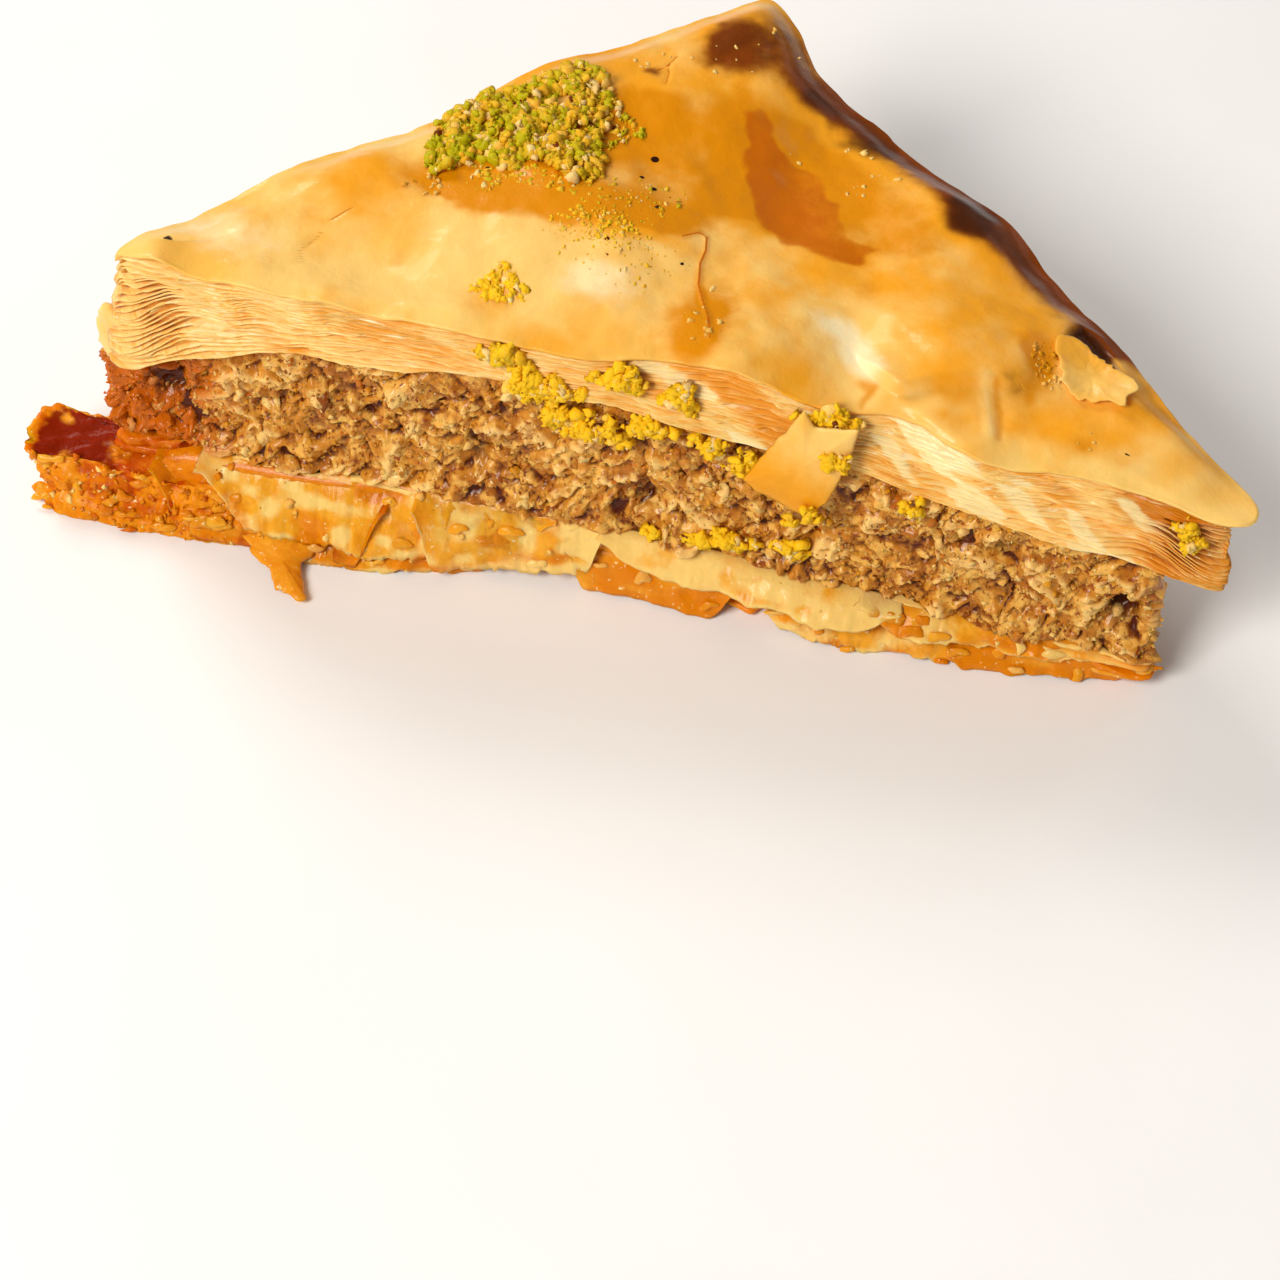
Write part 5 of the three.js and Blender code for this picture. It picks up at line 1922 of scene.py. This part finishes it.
@dataclass
class Pistachio(Baklava):
    """Ground pistachio: the clump on the top leaf, the strewn grains, and the grains on the long cut face."""

    top: GlazedTop = field(default_factory=GlazedTop)
    seed: int = 77
    # Heaps on the top leaf: x, y, reach along each, grains, piled height, share of yellow, grain size.
    heaps: Rows = (
        (-20.4, 22.8, 5.2, 5.0, 1000, 1.5, 0.25, 0.36),
        (-24.0, 18.6, 2.6, 3.2, 240, 0.9, 0.1, 0.34),
        (-14.8, 22.2, 4.8, 5.0, 780, 1.1, 0.35, 0.34),
        (-15.4, 28.8, 4.0, 2.4, 300, 0.7, 0.3, 0.34),
        (-11.2, 25.4, 2.4, 3.2, 90, 0.3, 0.3, 0.26),
        (-17.5, 17.0, 6.4, 2.4, 170, 0.0, 0.4, 0.26),
        (-9.5, 13.4, 4.8, 3.2, 240, 0.0, 0.6, 0.2),
        (-6.5, 17.8, 3.6, 3.4, 80, 0.0, 0.4, 0.16),
        (-7.0, 10.0, 6.5, 3.4, 70, 0.0, 0.6, 0.16),
        (-15.8, 5.0, 2.4, 2.2, 170, 0.15, 1.1, 0.4),
        (1.2, 9.8, 0.4, 0.5, 3, 0.0, 0.2, 0.4),
    )
    # Heaps on the long cut face: x, z, reach along each, grains, share of green.
    face: Rows = (
        (-14.4, 27.6, 1.7, 0.9, 78, 0.6), (-12.2, 24.6, 1.8, 1.7, 102, 0.1), (-9.6, 24.6, 1.5, 1, 51, 0.4),
        (-6.8, 20.4, 2.6, 1.4, 85, 0.35), (-9.6, 21.6, 1.4, 1.2, 37, 0.1), (-4.2, 27, 1.9, 0.9, 74, 0),
        (-2, 22, 1.6, 1.1, 44, 0.1), (0.9, 26.2, 1.2, 1.3, 57, 0), (3.6, 21.2, 1.3, 1, 34, 0),
        (6.8, 19.6, 1.8, 1.2, 37, 0.1), (13.3, 26.3, 2, 0.7, 51, 0.1), (-1.1, 8.3, 1, 0.6, 20, 0),
        (2.4, 8.4, 1.6, 0.6, 30, 0.1), (5.4, 9.3, 1.6, 0.9, 57, 0), (10.6, 13.5, 0.6, 0.4, 6, 0),
        (11, 9.9, 1.4, 0.8, 44, 0), (20.9, 18.2, 0.8, 0.9, 20, 0), (43.4, 22.0, 0.9, 1.1, 24, 0),
        (43.9, 20.2, 0.8, 0.6, 18, 0),
    )
    # Heaps on the loose flake: x, y, z, reach, grains.
    on_flake: Rows = (
        (14.3, -1.25, 23.6, 1.2, 46), (12.7, -2.1, 17.6, 0.8, 16),
    )

    def strewn(self, rng: np.random.Generator) -> tuple[Array, Array, Array]:
        """Grains on the top leaf: random places in each heap, piled to its height.

        Args:
            rng: the seeded generator.

        Returns:
            Their centres, radii and how yellow each is.
        """
        centres, radii, yellow = [], [], []
        for x, y, rx, ry, count, pile, glow, coarse in self.heaps:
            angle = rng.uniform(0, 2 * np.pi, int(count))
            spread = np.sqrt(rng.uniform(0, 1, len(angle))) * (0.85 + 0.25 * np.sin(3 * angle + x))
            px, py = x + rx * spread * np.cos(angle), y + ry * spread * np.sin(angle)
            py = np.minimum(py, px + 47.9)
            size = 0.09 + coarse * rng.uniform(0, 1, len(angle)) ** 1.8
            broad = (np.arange(len(angle)) < 0.16 * len(angle)) & (pile > 0.5)
            size = np.where(broad, rng.uniform(0.4, 0.68, len(angle)), size)
            clumps = np.abs(self.top.wrinkle(px / 1.5, py / 1.5)) * 1.3
            mound = np.clip(1 - spread**2, 0, 1) ** 0.45 * (0.35 + clumps) * np.where(broad, 0.75, 1.0)
            sunk = mix(0.55, 0.0, min(pile, 1.0)) * size
            z = self.top.height(px, py) - sunk + pile * mound * rng.uniform(0.4, 1, len(angle))
            centres.append(np.stack([px, py, z], axis=-1))
            radii.append(size)
            yellow.append(glow - 0.4 * (x < -18) * (rng.uniform(0, 1, len(angle)) < 0.5))
        return np.concatenate(centres), np.concatenate(radii), np.concatenate(yellow)

    def stand(self, x: Array, z: Array) -> Array:
        """How far the cut face stands out where grains stick to it: less high up, where the leaves lie back.

        Args:
            x: places along the face.
            z: their heights.

        Returns:
            How far it stands out, which is 0 or less.
        """
        form = self.form
        level = (z - form.stack_bottom(x)) / (form.top_line(x) - form.stack_bottom(x))
        return -0.8 * form.setback(Outline.straight(x)) * np.clip(level, 0, 1) ** 1.3

    def stuck(self, rng: np.random.Generator) -> tuple[Array, Array, Array]:
        """Grains on the long cut face: clumps of larger and smaller ones, a little proud of it.

        Args:
            rng: the seeded generator.

        Returns:
            Their centres, radii and how yellow each is.
        """
        centres, radii, yellow = [], [], []
        for x, z, rx, rz, count, green in self.face:
            angle = rng.uniform(0, 2 * np.pi, int(2.2 * count))
            spread = rng.uniform(0, 1, len(angle)) ** 0.75 * (1.15 + 0.5 * np.sin(3 * angle + 5 * x))
            size = 0.12 + 0.36 * rng.uniform(0, 1, len(angle)) ** 2
            broad = (np.arange(len(angle)) < 0.1 * len(angle)) & (rx > 1.0)
            size = np.where(broad, rng.uniform(0.4, 0.66, len(angle)), size)
            across, up = rx * spread * np.cos(angle), rz * spread * np.sin(angle)
            lumpy = 0.55 + 0.45 * self.top.wrinkle(x + 1.3 * across, z + up)
            proud = np.where(broad, 0.1, 0.1 + 0.75 * np.sqrt(np.clip(1 - spread**2, 0, 1)) * lumpy)
            centres.append(np.stack([x + across, -proud - self.stand(x + across, z + up), z + up], axis=-1))
            radii.append(size)
            yellow.append(np.full(len(angle), 1.3 - green))
        for x, y, z, reach, count in self.on_flake:
            size = 0.14 + 0.4 * rng.uniform(0, 1, int(count)) ** 2
            away = reach * rng.uniform(-1, 1, (3, int(count))) * np.array([[1.0], [0.15], [0.8]])
            centres.append(np.stack([x + away[0], y - 0.4 * size + away[1], z + away[2]], axis=-1))
            radii.append(size)
            yellow.append(np.full(len(size), 0.9))
        return np.concatenate(centres), np.concatenate(radii), np.concatenate(yellow)

    def build(self) -> list[Thing]:
        """Builds the grains of the top leaf and those of the cut face.

        Returns:
            The pieces.
        """
        rng = np.random.default_rng(self.seed)
        material = GROUND_PISTACHIO.material()
        pieces = []
        for name, maker in (("strewn_pistachio", self.strewn), ("stuck_pistachio", self.stuck)):
            centres, radii, yellow = maker(rng)
            count = len(radii)
            kind = rng.uniform(0, 1, count)
            fields = {
                "yellow": yellow * rng.uniform(0.6, 1.2, count),
                "green": np.where(kind < 0.84, rng.uniform(0.2, 1.0, count) * (1.2 - yellow), 0.0),
                "pale": np.where(kind > 0.84, rng.uniform(0.4, 1.0, count), 0.0),
                "brown": np.where((kind > 0.785) & (kind < 0.8) & (radii < 0.45), 1.0, 0.0),
            }
            surface = Surface()
            add_lumps(surface, centres, radii, rng, 0.36, **fields)
            thing = surface.build(name, material, self.to_frame)
            pieces.append(self.dress(thing, "pistachio", "filo_stack"))
        return pieces


# ---- Camera, light and floor ---------------------------------------------------------------------


@dataclass(frozen=True)
class Lamp:
    """A square soft light: degrees round from -Y to +X and above the floor, metres away and wide, watts."""

    name: str
    azimuth: float
    elevation: float
    distance: float
    size: float
    watts: float
    tint: str


@dataclass(frozen=True)
class Studio:
    """Pale floor, soft light and the camera, which looks down on the long cut face."""

    azimuth: float = 13.88
    elevation: float = 52.61
    roll: float = 0.25
    distance_mm: float = 281.2
    target_mm: Row = (-1.13, -5.66)
    lens_mm: float = 90.0
    sensor_mm: float = 36.0
    room_tint: str = "FFFAF2"
    room_strength: float = 0.21
    lamps: tuple[Lamp, ...] = (
        Lamp("softbox", -30.0, 44.0, 0.75, 0.3, 4.6, "FFF8EC"),
        Lamp("side_panel", -128.0, 42.0, 0.7, 0.26, 2.3, "FFF8EC"),
        Lamp("window", 150.0, 30.0, 0.8, 0.3, 0.25, "FFFFFF"),
    )

    def camera(self, piece: Baklava) -> None:
        """Makes the camera, aimed at a place of the floor in front of the piece.

        Args:
            piece: what gives the frame.
        """
        azimuth, elevation = math.radians(self.azimuth), math.radians(self.elevation)
        flat = math.cos(elevation)
        back = Vector((math.sin(azimuth) * flat, -math.cos(azimuth) * flat, math.sin(elevation)))
        target = Vector(piece.to_frame(np.array([*self.target_mm, 0.0])))
        data = bpy.data.cameras.new("camera")
        data.lens, data.sensor_width = self.lens_mm, self.sensor_mm
        data.clip_start, data.clip_end = 0.01, 20.0
        thing = bpy.data.objects.new("camera", data)
        turn = back.to_track_quat("Z", "Y").to_matrix().to_4x4()
        thing.matrix_world = (
            Matrix.Translation(target + back * self.distance_mm * MM)
            @ turn
            @ Matrix.Rotation(math.radians(self.roll), 4, "Z")
        )
        bpy.context.scene.collection.objects.link(thing)
        bpy.context.scene.camera = thing

    def light(self, lamp: Lamp) -> None:
        """Adds a light that aims at the piece.

        Args:
            lamp: its place, size, power and colour.
        """
        a, e = math.radians(lamp.azimuth), math.radians(lamp.elevation)
        way = Vector((math.sin(a) * math.cos(e), -math.cos(a) * math.cos(e), math.sin(e)))
        data = bpy.data.lights.new(lamp.name, "AREA")
        data.shape, data.size, data.energy = "SQUARE", lamp.size, lamp.watts
        data.color = linear(lamp.tint)[:3]
        thing = bpy.data.objects.new(lamp.name, data)
        turn = way.to_track_quat("Z", "Y").to_matrix().to_4x4()
        thing.matrix_world = Matrix.Translation(way * lamp.distance) @ turn
        bpy.context.scene.collection.objects.link(thing)

    def floor(self) -> None:
        """Adds the pale floor: a flat square far larger than the view, just below the piece."""
        side = np.linspace(-2.0, 2.0, 9)
        x, y = np.meshgrid(side, side, indexing="ij")
        points = np.stack([x, y, 0 * x - 0.0001], axis=-1).reshape(-1, 3)
        i, j = np.meshgrid(np.arange(8), np.arange(8), indexing="ij")
        a = i * 9 + j
        quads = np.stack([a, a + 9, a + 10, a + 1], axis=-1).reshape(-1, 4)
        surface = Surface()
        surface.add(points, quads)
        surface.build("floor", WHITE_CARD.material(), lambda p: p)

    def sky(self) -> None:
        """Lights the room evenly from all round."""
        world = bpy.data.worlds.new("room")
        world.use_nodes = True
        background = world.node_tree.nodes["Background"]
        background.inputs["Color"].default_value = linear(self.room_tint)
        background.inputs["Strength"].default_value = self.room_strength
        bpy.context.scene.world = world

    def build(self, piece: Baklava) -> None:
        """Builds camera, floor, room and lights.

        Args:
            piece: what gives the frame.
        """
        self.camera(piece)
        self.floor()
        self.sky()
        for lamp in self.lamps:
            self.light(lamp)
        bpy.context.scene.view_settings.view_transform = "Standard"
        bpy.context.scene.view_settings.look = "None"


def main() -> None:
    """Loads the frame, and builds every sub-assembly in order."""
    logging.basicConfig(level=logging.INFO, format="%(name)s: %(message)s")
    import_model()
    piece = Baklava()
    Studio().build(piece)
    SoakedBase().build()
    NutFilling().build()
    LeafStack().build()
    GlazedTop().build()
    LooseBits().build()
    Pistachio().build()


if __name__ == "__main__":
    main()
